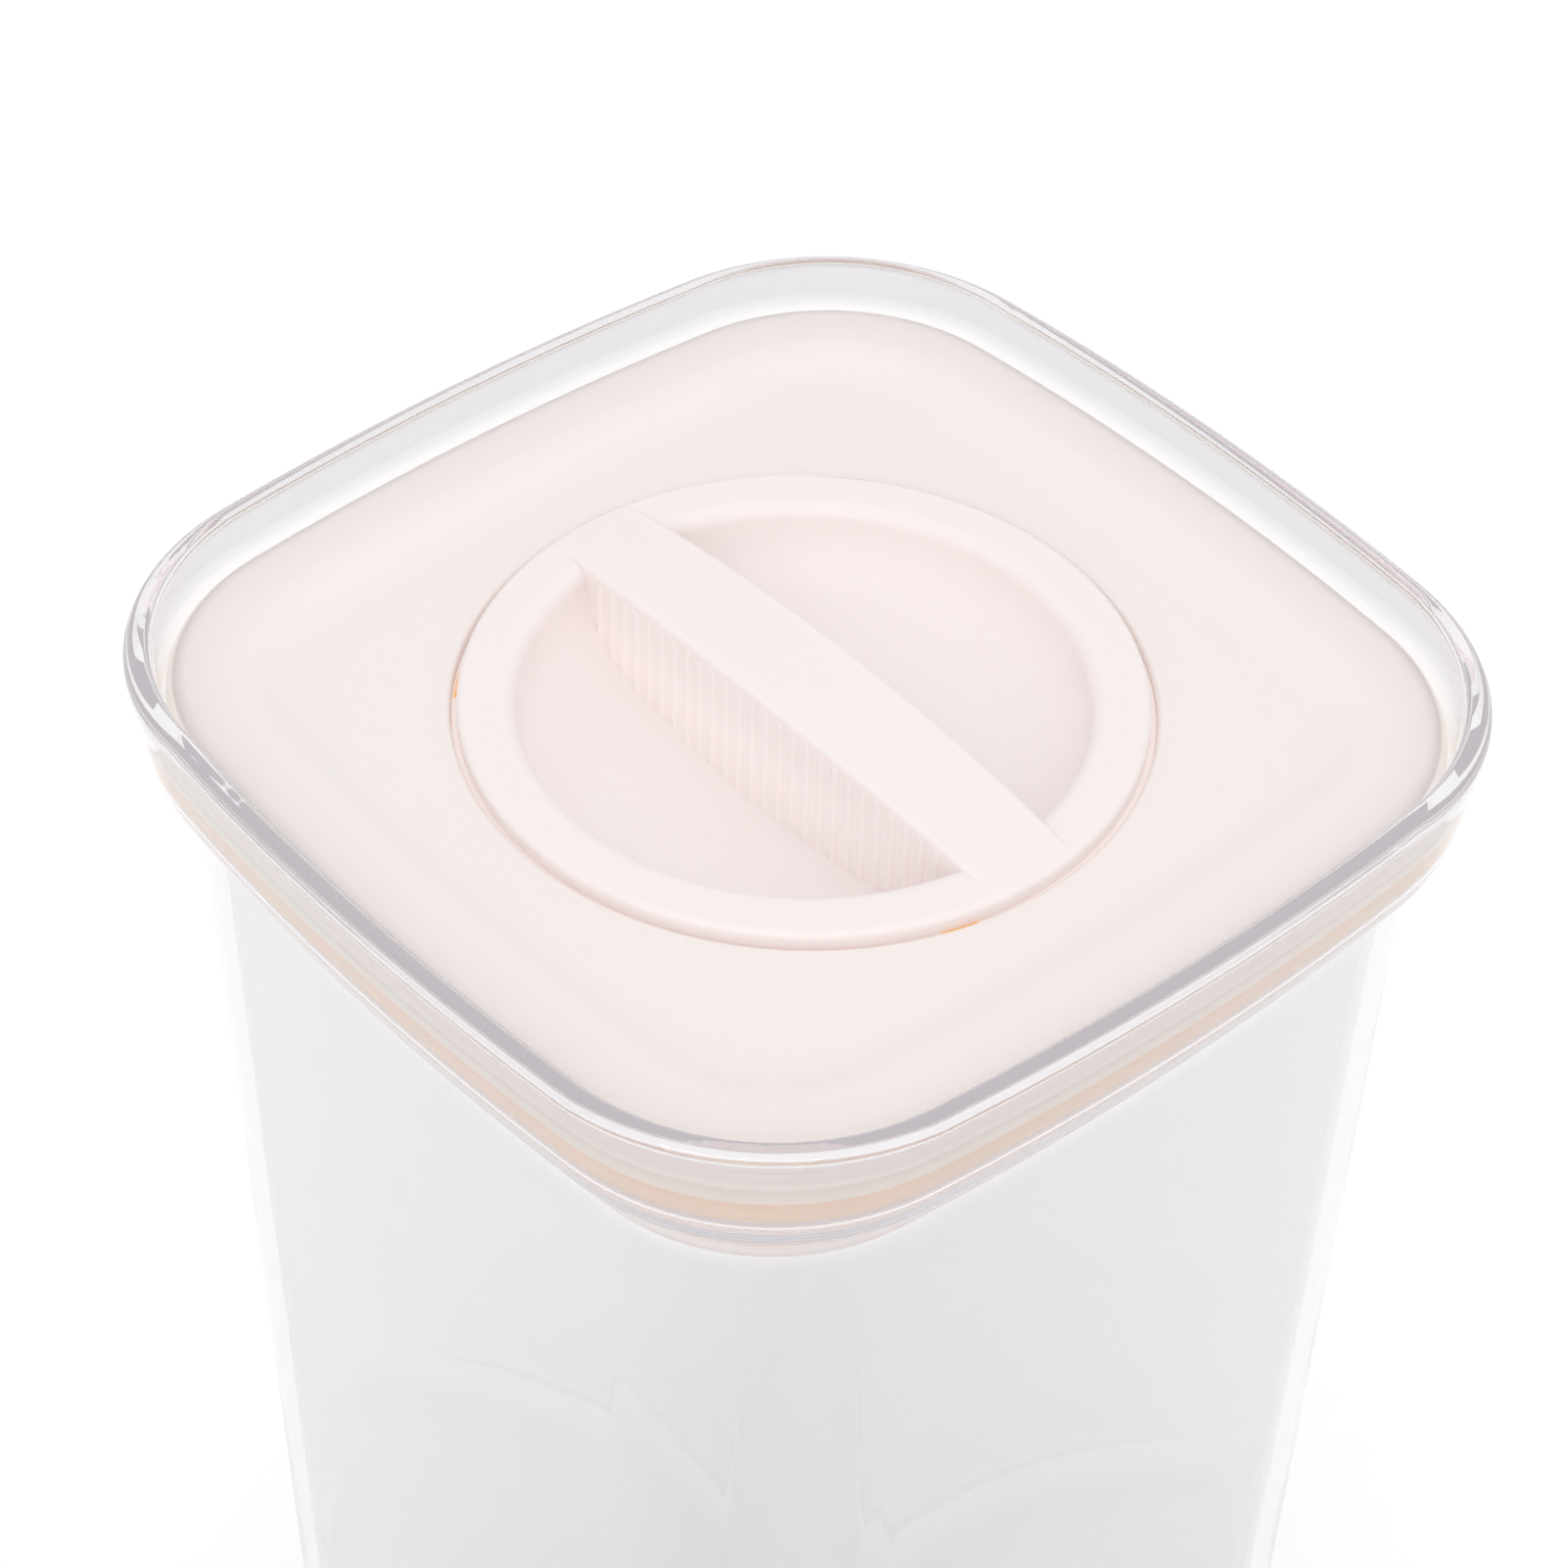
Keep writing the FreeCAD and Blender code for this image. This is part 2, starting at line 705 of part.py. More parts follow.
def cam_ring():
    ramps = [cam_ramp(follower_angle + 360 / cam_ramps * number) for number in range(cam_ramps)]
    boss = disc(cam_boss_radius, hub_end, cam_floor)
    ring = disc(cam_radius, cam_top, cam_floor).fuse(ramps + [boss])
    counterbore = disc(hub_washer_radius + run_gap, cam_web_base, cam_floor + overrun)
    drive = box(spigot_width / 2 + fit_gap, spigot_width / 2 + fit_gap, hub_end - overrun, cam_floor)
    return ring.cut([counterbore, drive]).removeSplitter()


def screw(place, seat, thread, length, head, head_height):
    """Cross-recess screw driven upward, with its head below the seat."""
    shank = disc(thread - press_gap, seat - length, seat, place)
    cap = disc(head, seat, seat + head_height, place)
    rim = [e for e in cap.Edges if e.BoundBox.ZMax < level(seat + head_height / 2)]
    cap = cap.makeFillet(head_height / 3, rim)
    recess_top = seat + head_height * (1 - recess_depth_share)
    long, wide = head * recess_length_share, head * recess_width_share
    arms = [box(x, y, recess_top, seat + head_height + overrun, place) for x, y in ((long, wide), (wide, long))]
    return shank.fuse(cap).cut(arms)


def hub_screw():
    seat = cam_web_base + hub_washer_height
    length = hub_thread_length + hub_washer_height - run_gap
    return screw((0, 0), seat, hub_thread_radius, length, hub_head_radius, hub_head_height)


def hub_washer():
    base = cam_web_base + hub_washer_height
    washer = disc(hub_washer_radius, cam_web_base, base)
    return washer.cut(disc(hub_thread_radius + run_gap, cam_web_base - overrun, base + overrun))


def housing_screws():
    screws = []
    for corner in range(4):
        screws.append(screw(spot(ear_place, 90 * corner), ear_base, ear_thread_radius,
                            ear_thread_length - run_gap, ear_head_radius, ear_head_height))
    return Part.makeCompound(screws)


def guide_screws():
    screws = []
    for corner in range(4):
        place = spot(guide_place, 45 + 90 * corner)
        reach = guide_seat - cover_rib_base + guide_thread_length - run_gap
        shoulder_bar = disc(shoulder_radius, cover_rib_base, guide_seat, place)
        screws.append(screw(place, guide_seat, guide_thread_radius, reach, guide_head_radius,
                            guide_head_height).fuse(shoulder_bar).removeSplitter())
    return Part.makeCompound(screws)


# Pressure plate, followers, tray and its seal

def pressure_plate():
    flat_half = plate_half - plate_thickness + plate_edge
    rim = around(section(
        (flat_half, level(plate_top)),
        (plate_half, level(plate_top)),
        (plate_half, level(plate_top + plate_edge)),
        (flat_half, level(plate_base))))
    plate = slab(flat_half, plate_top, plate_base).fuse(rim)
    upstand = frame(rib_half, rib_half - plate_rib_wall, plate_rib_top, plate_top + plate_edge)
    spigot_half = tray_inner - fit_gap
    spigot_base = tray_top + tray_straight - run_gap
    spigot = frame(spigot_half, spigot_half - spigot_rib_wall, plate_top, spigot_base)
    added, removed = [], [disc(plate_bore, plate_top - overrun, plate_base + overrun)]
    for corner in range(4):
        place = spot(guide_place, 45 + 90 * corner)
        added.append(disc(guide_boss_radius, plate_top, guide_boss_base, place))
        removed.append(disc(shoulder_radius + fit_gap, plate_top - overrun, guide_boss_base + overrun, place))
    for number in range(cam_ramps):
        place = spot(cam_track, follower_angle + 360 / cam_ramps * number)
        removed.append(disc(follower_radius, plate_base - follower_seat, plate_base + overrun, place))
    return plate.fuse([upstand, spigot] + added).cut(removed).removeSplitter()


def cam_followers():
    pads = []
    for number in range(cam_ramps):
        place = spot(cam_track, follower_angle + 360 / cam_ramps * number)
        pads.append(disc(follower_radius - press_gap, plate_base - follower_seat, follower_end, place))
    return Part.makeCompound(pads)


def plate_tray():
    foot = tray_half - tray_slope_width
    straight_base = tray_top + tray_straight
    wall = around(section(
        (tray_half, level(tray_top)),
        (tray_half, level(straight_base)),
        (foot, level(tray_floor + tray_wall)),
        (foot - tray_wall, level(tray_floor + tray_wall)),
        (foot - tray_wall, level(tray_floor)),
        (tray_inner, level(straight_base)),
        (tray_inner, level(tray_top))))
    return wall.fuse(slab(foot - tray_wall, tray_floor, tray_floor + tray_wall)).removeSplitter()


def tray_seal():
    return frame(tray_half, tray_inner, plate_base, tray_top)


# Gasket and springs

def bead(depth):
    """Arc step of a bead on the gasket's outer face, drawn downward."""
    return ((seal_half + gasket_bead, level(depth)), (seal_half, level(depth + gasket_bead_height / 2)))


def gasket():
    lip_half = skirt_half - gasket_lip_inset
    lip_level = ledge_level + gasket_lip_clear
    lip_base = skirt_depth + gasket_lip_height
    lip_arc = ((lip_half + gasket_lip_bulge, level((skirt_depth + lip_base) / 2)), (lip_half, level(lip_base)))
    base = plate_top - rest_gap
    upper = ledge_end + gasket_bead_height / 2
    lower = base - gasket_bead_height / 2
    return around(section(
        (gasket_inner, level(skirt_depth)),
        (lip_half, level(skirt_depth)),
        lip_arc,
        (ledge_edge, lip_level),
        (seal_half, lip_level),
        (seal_half, level(upper - gasket_bead_height / 2)),
        bead(upper),
        (seal_half, level(lower - gasket_bead_height / 2)),
        bead(lower),
        (gasket_inner, level(base))))


def coil_point(turn):
    """Centre of the wire and its direction after a number of turns of the coil."""
    low, high = level(plate_top - rest_gap - wire_radius), level(cover_rib_base + rest_gap + wire_radius)
    climb = (high - low) / spring_turns
    x, y = spot(spring_radius, 360 * turn)
    ahead = V(-y, x, climb / (2 * math.pi))
    return V(x, y, low + climb * turn), ahead.normalize()


def biarc(start, ahead, end, beyond):
    """Two tangent arcs from one point and direction to another."""
    chord = end - start
    spread = 1 - ahead.dot(beyond)
    along = chord.dot(ahead + beyond)
    arm = (math.sqrt(along**2 + 2 * spread * chord.dot(chord)) - along) / (2 * spread)
    first, second = start + ahead * arm, end - beyond * arm
    middle = (first + second) / 2
    edges = []
    for near, pull, far in ((start, first, middle), (middle, second, end)):
        weight = (far - near).Length / (2 * arm)
        top = (near + far + pull * (2 * weight)) / (2 + 2 * weight)
        edges.append(Part.Arc(near, top, far).toShape())
    return edges


def return_spring():
    """Round wire on a helix of quarter-turn biarcs, about the upright axis."""
    edges = []
    for quarter in range(4 * spring_turns):
        edges += biarc(*coil_point(quarter / 4), *coil_point((quarter + 1) / 4))
    start, ahead = coil_point(0)
    wire = Part.Wire(Part.makeCircle(wire_radius, start, ahead))
    return Part.Wire(edges).makePipeShell([wire], True, False)


def coil_gap():
    """Least gap between the wire's turns, measured on points of its centre line."""
    samples = 24
    points = [coil_point(number / samples)[0] for number in range(samples * spring_turns + 1)]
    far = samples // 2
    pairs = [(a, b) for a in range(len(points)) for b in range(a + far, len(points))]
    return min(points[a].distanceToPoint(points[b]) for a, b in pairs) - 2 * wire_radius


def main():
    os.makedirs("parts", exist_ok=True)
    parts = {
        "container_body": container_body(),
        "lid_cover": lid_cover(),
        "knob_housing": knob_housing(),
        "housing_screws": housing_screws(),
        "twist_knob": twist_knob(),
        "thrust_washer": thrust_washer(),
        "hub_bush": hub_bush(),
        "hub_o_ring": hub_o_ring(),
        "cam_ring": cam_ring(),
        "hub_screw": hub_screw(),
        "hub_washer": hub_washer(),
        "pressure_plate": pressure_plate(),
        "cam_followers": cam_followers(),
        "plate_tray": plate_tray(),
        "tray_seal": tray_seal(),
        "gasket": gasket(),
        "guide_screws": guide_screws(),
    }
    spring = return_spring()
    for corner in range(4):
        x, y = spot(guide_place, 45 + 90 * corner)
        parts[f"return_spring_{corner + 1}"] = spring.translated(V(x, y, 0))
    for name, shape in parts.items():
        shape.exportStep(f"parts/{name}.step")
        print(name, "valid", shape.isValid(), "solids", len(shape.Solids), "volume", round(shape.Volume, 1))
    print("least gap between a spring's turns, mm:", round(coil_gap(), 3))


main()
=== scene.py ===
import math

import bpy
from mathutils import Matrix, Vector


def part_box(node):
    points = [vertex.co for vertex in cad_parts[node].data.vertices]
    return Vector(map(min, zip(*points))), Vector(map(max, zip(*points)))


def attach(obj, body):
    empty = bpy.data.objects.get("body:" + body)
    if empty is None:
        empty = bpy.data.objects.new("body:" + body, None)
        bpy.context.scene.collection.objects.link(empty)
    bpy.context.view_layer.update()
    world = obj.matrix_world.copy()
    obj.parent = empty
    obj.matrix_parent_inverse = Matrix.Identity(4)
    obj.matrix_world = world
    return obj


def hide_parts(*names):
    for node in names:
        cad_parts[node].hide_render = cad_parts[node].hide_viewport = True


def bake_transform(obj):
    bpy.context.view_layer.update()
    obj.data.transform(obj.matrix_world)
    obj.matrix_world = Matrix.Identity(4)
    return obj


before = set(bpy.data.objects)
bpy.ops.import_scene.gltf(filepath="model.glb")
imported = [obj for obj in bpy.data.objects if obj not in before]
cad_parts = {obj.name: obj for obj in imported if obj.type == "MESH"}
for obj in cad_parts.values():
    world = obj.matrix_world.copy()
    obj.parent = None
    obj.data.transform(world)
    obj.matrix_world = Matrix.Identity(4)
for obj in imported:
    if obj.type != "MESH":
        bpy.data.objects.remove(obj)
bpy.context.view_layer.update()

bl_info = {
    "name": "Cereal container",
    "version": (1, 0, 0),
    "blender": (4, 5, 0),
    "location": "View3D > Sidebar > Container",
    "description": "A clear square container with a twist-knob lid, on a pale studio floor",
    "category": "Object",
}

# The camera stands above the near corner and looks down on the lid
CAMERA_PLACE = (-0.221645, -0.249073, 0.525982)
CAMERA_RIGHT = (0.76085, -0.64870, 0.01721)
CAMERA_UP = (0.43042, 0.52433, 0.73473)
CAMERA_BACK = (-0.48564, -0.55161, 0.67815)
CAMERA_LENS = 105.504
SENSOR_WIDTH = 36.0
CLIP_START = 0.01

# Lamps and floor, in metres
KEY_PLACE = (-0.75, -0.60, 0.85)
KEY_WIDTH = 0.9
FILL_PLACE = (0.55, -0.60, 0.95)
FILL_WIDTH = 0.7
FLOOR_WIDTH = 12
FLOOR_ROUGHNESS = 0.9

BODY_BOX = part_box("container_body")
HEIGHT = BODY_BOX[1].z
RIM_HALF = BODY_BOX[1].x
GASKET_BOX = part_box("gasket")
SPRING_NODES = [f"return_spring_{number}" for number in (1, 2, 3, 4)]

# A ray that has met the clear wall this often is caught inside it, and there the wall shows painted light
CAUGHT_DEPTH = 9
DIFFUSE_BOUNCES = 8

# Name of the attribute that holds a soft piece's heights at rest
REST_HEIGHT = "rest_height"

# Steps that the round stretches of an outline are drawn in
EDGE_STEPS = 8
RIM_INNER_STEPS = 6
COLLAR_STEPS = 9
FILLET_STEPS = 7
LIP_STEPS = 10
BEAD_STEPS = 8
RING_EDGE_STEPS = 3
SMALL_RING_STEPS = 24

# Steps of the spins that turn an outline or a wire into a piece
HALF_SIDE_STEPS = 5
CORNER_STEPS = 26
ROUND_STEPS = 64
WIRE_SIDES = 12
COIL_STEPS = 40

# Levels of the tapering wall, as shares of its height from the top
WALL_LEVEL_SHARES = (0.02, 0.25, 0.5, 0.75, 0.98)

# Vertices nearer than the first gap are one, and nearer in height than the others are level
MERGE_GAP = 0.000002
LEVEL_GAP = 0.0000006
CAP_GAP = 0.00002

# Edges sharper than these angles stay sharp, in degrees
SHARP_ANGLE = 30
SPRING_SHARP_ANGLE = 50
RING_SHARP_ANGLE = 60

# Mottle and grain of moulded surfaces
MOTTLE_SCALE = 45
MOTTLE_DETAIL = 3
GRAIN_SCALE = 1800
GRAIN_DETAIL = 2
GRAIN_DEPTH = 0.00001
GRAIN_STRENGTH = 0.5
ROUGHNESS_CHANGE = 0.06
METAL_GRAIN_SCALE = 2500
SILICONE_GRAIN_SCALE = 900
RUBBER_GRAIN_SCALE = 1500

# Light that scatters inside soft or translucent plastic
SOFT_RADIUS = (1.0, 0.7, 0.6)
SOFT_SCALE = 0.002

# Clear plastic and its faint waves
CLEAR_IOR = 1.5
WAVE_SCALE = 28
WAVE_DETAIL = 1
WAVE_DEPTH = 0.0002
WAVE_STRENGTH = 0.12

# Painted light on the housing's shelf: its strength, and the colour of no light
SHELF_PAINTED_LIGHT_STRENGTH = 0.32
DARK = (0.0, 0.0, 0.0)


def length(name, description, default):
    """A length the user may change, in metres."""
    return bpy.props.FloatProperty(name=name, description=description, default=default, min=0.0,
                                   precision=5, subtype="DISTANCE", unit="LENGTH")


def colour(name, description, default):
    """A linear colour."""
    return bpy.props.FloatVectorProperty(name=name, description=description, default=default, size=3,
                                         min=0.0, max=1.0, subtype="COLOR")


def strength(name, description, default):
    """A strength of light."""
    return bpy.props.FloatProperty(name=name, description=description, default=default, min=0.0)


class BodySizes(bpy.types.PropertyGroup):
    """Sizes of the clear body."""
    height: length("Height", "From the base to the top of the rim", HEIGHT)
    rim_half: length("Rim half width", "Half the width across the rim", RIM_HALF)
    corner_radius: length("Corner radius", "Radius of the rim's corners", 0.02735)
    side_bow: length("Side bow", "How far the middle of a side stands out past its ends", 0.00131)
    rim_wall: length("Rim wall", "Thickness of the wall at the rim", 0.0028)
    rim_round: length("Rim round", "Rounding of the rim's outer edge", 0.0012)
    rim_inner_round: length("Rim inner round", "Rounding of the rim's inner edge", 0.0008)
    collar_depth: length("Collar depth", "Depth of the collar's straight wall", 0.01)
    collar_lean: length("Collar lean", "How far the collar leans in over its depth", 0.0014)
    collar_draft: length("Collar draft", "How far the inner face leans in over its depth", 0.0003)
    neck_depth: length("Neck depth", "Depth at which the neck begins outside", 0.0185)
    neck_inset: length("Neck inset", "How far the neck lies inside the rim", 0.0059)
    neck_fillet: length("Neck fillet", "Fillet where the collar meets the neck", 0.003)
    ledge_end: length("Ledge end", "Depth at which the inner ledge meets the neck", 0.0155)
    ledge_fillet: length("Ledge fillet", "Fillet where the ledge meets the neck", 0.0025)
    wall: length("Wall", "Thickness of the body's wall", 0.002)
    base_half: length("Base half width", "Half the width of the body at the base", 0.0444)
    floor_wall: length("Floor", "Thickness of the floor", 0.003)
    foot_round: length("Foot round", "Rounding of the base's outer edge", 0.004)
    floor_round: length("Floor round", "Rounding inside, where the wall meets the floor", 0.005)
    foot_width: length("Foot width", "Width of the ring that the body stands on", 0.005)
    foot_recess: length("Foot recess", "Depth of the recess inside that ring", 0.0006)


class SealSizes(bpy.types.PropertyGroup):
    """Sizes of the soft seals and of the springs."""
    wall: length("Gasket wall", "Thickness of the gasket's wall", 0.0016)
    bead: length("Bead", "How far the gasket's beads stand out", 0.00045)
    bead_height: length("Bead height", "Height of a bead", 0.002)
    seal_half: length("Seal half width", "Half the width across the gasket's wall", 0.04755)
    lip_half: length("Lip half width", "Half the width across the gasket's top lip", 0.0514)
    lip_height: length("Lip height", "Height of the lip's outer face", 0.0032)
    lip_bulge: length("Lip bulge", "How far the lip's outer face swells", 0.0011)
    lip_drop: length("Lip drop", "Depth of the lip's under face below the gasket's top", 0.00412)
    ledge_half: length("Ledge half width", "Half the width at which the lip's slope begins", 0.05026)
    wire_radius: length("Wire radius", "Radius of the spring's wire", 0.0004)
    spring_radius: length("Spring radius", "Radius of the coil, to the middle of the wire", 0.0032)
    spring_turns: bpy.props.IntProperty(name="Turns", description="Turns of each spring", default=4, min=1)
    ring_edge: length("Ring edge", "Rounding of the tray seal's edges", 0.00025)
    ring_flash: length("Parting line", "How far the small ring's parting line stands out", 0.00004)


class ToneDepths(bpy.types.PropertyGroup):
    """Depths below a piece's top, but for one over the floor, at which its looks change, painted shade and
    painted light among them.
    """
    rim: length("Rim", "Depth at which the rim's tone ends", 0.0042)
    collar: length("Collar", "Depth at which the collar's clear tone begins", 0.0056)
    # Depth at which the clear wall's painted light is brightest
    painted: length("Painted light", "Depth at which gathered light is brightest", 0.016)
    floor: length("Floor", "Height over the floor's face at which the body's tone begins", 0.009)
    shelf: length("Shelf", "Depth at which the shelf's tone ends", 0.0004)
    housing: length("Housing", "Depth at which the housing's deep tone begins", 0.0009)
    housing_dim: length("Housing, dim", "Depth at which the housing's glow begins to fade", 0.0015)
    housing_dark: length("Housing, dark", "Depth at which the housing's glow has faded", 0.003)
    lid_top: length("Lid top", "Depth at which the glow of the lid's edge begins", 0.0003)
    lid_edge: length("Lid edge", "Depth at which the glow of the lid's edge is full", 0.0006)
    lid_edge_end: length("Lid edge end", "Depth at which the glow of the lid's edge ends", 0.0018)
    lid_skirt: length("Lid skirt", "Depth at which only the skirt's glow is left", 0.0025)
    lid_edge_width: length("Lid edge width", "Width of the lid's edge that glows", 0.0033)
    bowl_edge: length("Bowl edge", "Depth at which the bowl's glow begins", 0.003)
    bowl_floor: length("Bowl floor", "Depth at which the bowl's glow is full", 0.009)


class Finishes(bpy.types.PropertyGroup):
    """Colours of the pieces, and of the painted light and painted shade on them."""
    lid: colour("Lid", "Colour of the lid cover", (0.888, 0.818, 0.797))
    knob: colour("Knob", "Colour of the twist knob", (0.892, 0.824, 0.814))
    housing: colour("Housing", "Colour of the housing's shelf, seen round the knob", (0.95, 0.88, 0.85))
    housing_deep: colour("Housing, deep", "Colour of the housing below its shelf", (0.80, 0.56, 0.26))
    # Painted light that lifts the shade in the gap round the knob
    shelf_painted_light: colour("Shelf glow", "Light that shines through the housing's shelf", (0.46, 0.43, 0.42))
    # Painted light on the lid's skirt and on its rounded edge
    skirt_painted_light: colour("Skirt glow", "Light that shines through the lid's skirt", (0.10, 0.095, 0.065))
    edge_painted_light: colour("Edge glow", "Light that shines through the lid's rounded edge", (0.255, 0.235, 0.20))
    # Painted light that lifts the shade deep in the knob's bowl
    bowl_painted_light: colour("Bowl glow", "Light that shines through the knob's bowl", (0.045, 0.045, 0.045))
    plate: colour("Plate", "Colour of the pressure plate and tray", (0.87, 0.83, 0.81))
    bearing: colour("Bearing", "Colour of the bearing pieces", (0.78, 0.76, 0.70))
    cam: colour("Cam", "Colour of the cam ring", (0.62, 0.62, 0.60))
    silicone: colour("Silicone", "Colour of the gasket's lip", (0.985, 0.76, 0.62))
    silicone_wall: colour("Silicone, wall", "Colour of the gasket's thin wall", (0.98, 0.90, 0.89))
    # Painted light on the gasket's lip and wall
    lip_painted_light: colour("Lip glow", "Light that shines through the gasket's lip", (0.05, 0.045, 0.04))
    wall_painted_light: colour("Wall glow", "Light that shines through the gasket's wall", (0.16, 0.145, 0.145))
    tray_seal: colour("Tray seal", "Colour of the tray's flat seal", (0.90, 0.87, 0.84))
    rubber: colour("Rubber", "Colour of the small ring seal", (0.035, 0.035, 0.037))
    steel: colour("Steel", "Colour of screws and springs", (0.56, 0.56, 0.57))
    clear: colour("Clear", "Tint of the clear plastic at the collar", (0.99, 0.975, 0.975))
    # Painted light that the clear wall shows where a ray is caught in it, brighter low in the wall, faint
    # and violet at the rim
    painted: colour("Painted light", "Light that the clear wall gathers inside", (0.58, 0.55, 0.575))
    rim_painted_light: colour("Painted light, rim", "Light that the rim gathers inside", (0.16, 0.15, 0.19))
    # Painted shade: the rim and the body below the neck are tinted darker than the collar
    rim_painted_shade: colour("Clear, rim", "Tint of the clear plastic at the rim", (0.79, 0.775, 0.795))
    body_painted_shade: colour("Clear, body", "Tint of the clear plastic below the neck", (0.875, 0.865, 0.875))


class StageSettings(bpy.types.PropertyGroup):
    """Light and floor."""
    ambient: strength("Ambient", "Light from all round", 0.92)
    key: strength("Key", "Power of the large lamp", 2.7)
    fill: strength("Fill", "Power of the second lamp", 0.6)
    floor: colour("Floor", "Colour of the floor", (0.9, 0.9, 0.9))
    lift: strength("Lift", "Light added to the floor where it is seen, so that it looks white", 0.17)


# Selecting and drawing by hand

def pick_none():
    """Nothing selected, in object mode."""
    if bpy.context.object and bpy.context.object.mode != "OBJECT":
        bpy.ops.object.mode_set(mode="OBJECT")
    bpy.ops.object.select_all(action="DESELECT")


def pick(obj):
    """Only this object selected, and active."""
    pick_none()
    obj.select_set(True)
    bpy.context.view_layer.objects.active = obj


def pick_vertices(obj, test):
    """In edit mode, select the vertices whose place passes a test."""
    bpy.ops.object.mode_set(mode="OBJECT")
    for part in (obj.data.polygons, obj.data.edges):
        part.foreach_set("select", [False] * len(part))
    for vertex in obj.data.vertices:
        vertex.select = test(vertex.co)
    bpy.ops.object.mode_set(mode="EDIT")
    bpy.ops.mesh.select_mode(type="VERT")


def arc(centre, radius, first, last, steps):
    """Points of an arc in the section plane, after its start, from one angle to another."""
    points = []
    for step in range(1, steps + 1):
        angle = math.radians(first + (last - first) * step / steps)
        points.append((centre[0] + radius * math.cos(angle), centre[1] + radius * math.sin(angle)))
    return points


def draw_line(name, points):
    """Mesh line in the XZ plane: a plane merged to one vertex, then extruded point by point."""
    pick_none()
    bpy.ops.mesh.primitive_plane_add()
    obj = bpy.context.object
    obj.name = obj.data.name = name
    bpy.ops.object.mode_set(mode="EDIT")
    bpy.ops.mesh.select_mode(type="VERT")
    bpy.ops.mesh.select_all(action="SELECT")
    bpy.ops.mesh.merge(type="CENTER")
    bpy.ops.transform.translate(value=(points[0][0], 0, points[0][1]))
    for (x, z), (next_x, next_z) in zip(points, points[1:]):
        bpy.ops.mesh.extrude_region_move(TRANSFORM_OT_translate={"value": (next_x - x, 0, next_z - z)})
    return obj


def square_turns(sizes):
    """The arcs of the rounded square from the middle of a side: centre, angle and steps."""
    centre = sizes.rim_half - sizes.corner_radius - sizes.side_bow
    reach = sizes.rim_half - centre
    radius = (centre**2 + reach**2 - sizes.corner_radius**2) / (2 * (reach - sizes.corner_radius))
    half = math.atan2(centre, centre - sizes.rim_half + radius)
    turns = []
    for quarter in range(4):
        turn = Matrix.Rotation(quarter * math.pi / 2, 3, "Z")
        along = turn @ Vector((sizes.rim_half - radius, 0, 0))
        corner = turn @ Vector((centre, centre, 0))
        after = Matrix.Rotation(math.pi / 2, 3, "Z") @ along
        turns.append((along, half, HALF_SIDE_STEPS))
        turns.append((corner, math.pi / 2 - 2 * half, CORNER_STEPS))
        turns.append((after, half, HALF_SIDE_STEPS))
    return turns


def spin_square(sizes):
    """Spin the drawn line round the rounded square, arc by arc, and close it up."""
    bpy.ops.mesh.select_all(action="SELECT")
    for centre, angle, steps in square_turns(sizes):
        bpy.ops.mesh.spin(steps=steps, angle=-angle, center=centre, axis=(0, 0, 1))
    bpy.ops.mesh.select_all(action="SELECT")
    bpy.ops.mesh.remove_doubles(threshold=MERGE_GAP)


def spin_round():
    """Spin the drawn line once round the upright axis, and close it up."""
    bpy.ops.mesh.select_all(action="SELECT")
    bpy.ops.mesh.spin(steps=ROUND_STEPS, angle=math.tau, center=(0, 0, 0), axis=(0, 0, 1))
    bpy.ops.mesh.select_all(action="SELECT")
    bpy.ops.mesh.remove_doubles(threshold=MERGE_GAP)


def cap(obj, z):
    """Close the open edge that lies at one height."""
    bpy.ops.mesh.select_mode(type="EDGE")
    bpy.ops.mesh.select_all(action="DESELECT")
    bpy.ops.mesh.select_non_manifold(extend=False, use_boundary=True, use_wire=False,
                                     use_multi_face=False, use_non_contiguous=False, use_verts=False)
    bpy.ops.object.mode_set(mode="OBJECT")
    for edge in obj.data.edges:
        if edge.select and abs(obj.data.vertices[edge.vertices[0]].co.z - z) > CAP_GAP:
            edge.select = False
    bpy.ops.object.mode_set(mode="EDIT")
    bpy.ops.mesh.select_mode(type="EDGE")
    bpy.ops.mesh.edge_face_add()


def finish_mesh(obj, angle=SHARP_ANGLE):
    """Faces outward, smooth but for real edges, and back to object mode."""
    bpy.ops.object.mode_set(mode="EDIT")
    bpy.ops.mesh.select_all(action="SELECT")
    bpy.ops.mesh.normals_make_consistent(inside=False)
    bpy.ops.object.mode_set(mode="OBJECT")
    pick(obj)
    bpy.ops.object.shade_smooth_by_angle(angle=math.radians(angle))


def keep_heights(obj):
    """Store each vertex's height at rest, so that a soft piece's tones stay in place on it."""
    heights = obj.data.attributes.new(REST_HEIGHT, "FLOAT", "POINT")
    heights.data.foreach_set("value", [vertex.co.z for vertex in obj.data.vertices])


def foot_curve(half, top, run, drop):
    """Quarter ellipse from an upright wall in to the floor, which the taper makes round."""
    points = []
    for step in range(1, EDGE_STEPS + 1):
        angle = math.radians(90 * step / EDGE_STEPS)
        points.append((half - run + run * math.cos(angle), top - drop * math.sin(angle)))
    return points


def wall_line(half, top, low):
    """Points of an upright wall, from just below its top down to its low end."""
    return [(half, low + (top - low) * (1 - part)) for part in (*WALL_LEVEL_SHARES, 1)]


def shoulder(start, lean, end, radius):
    """Two tangent arcs from a leaning wall in to an upright one: the first arc's centre and
    radius, the second's centre, and the angle at which they meet."""
    run = start[0] - end[0] - radius
    drop = start[1] - end[1]
    slope = math.radians(lean)
    upper = run**2 + drop**2 - radius**2
    upper = upper / (2 * (radius + run * math.cos(slope) - drop * math.sin(slope)))
    first = (start[0] - upper * math.cos(slope), start[1] + upper * math.sin(slope))
    second = (end[0] + radius, end[1])
    meet = math.degrees(math.atan2(second[1] - first[1], second[0] - first[0]))
    return first, upper, second, meet


# Materials

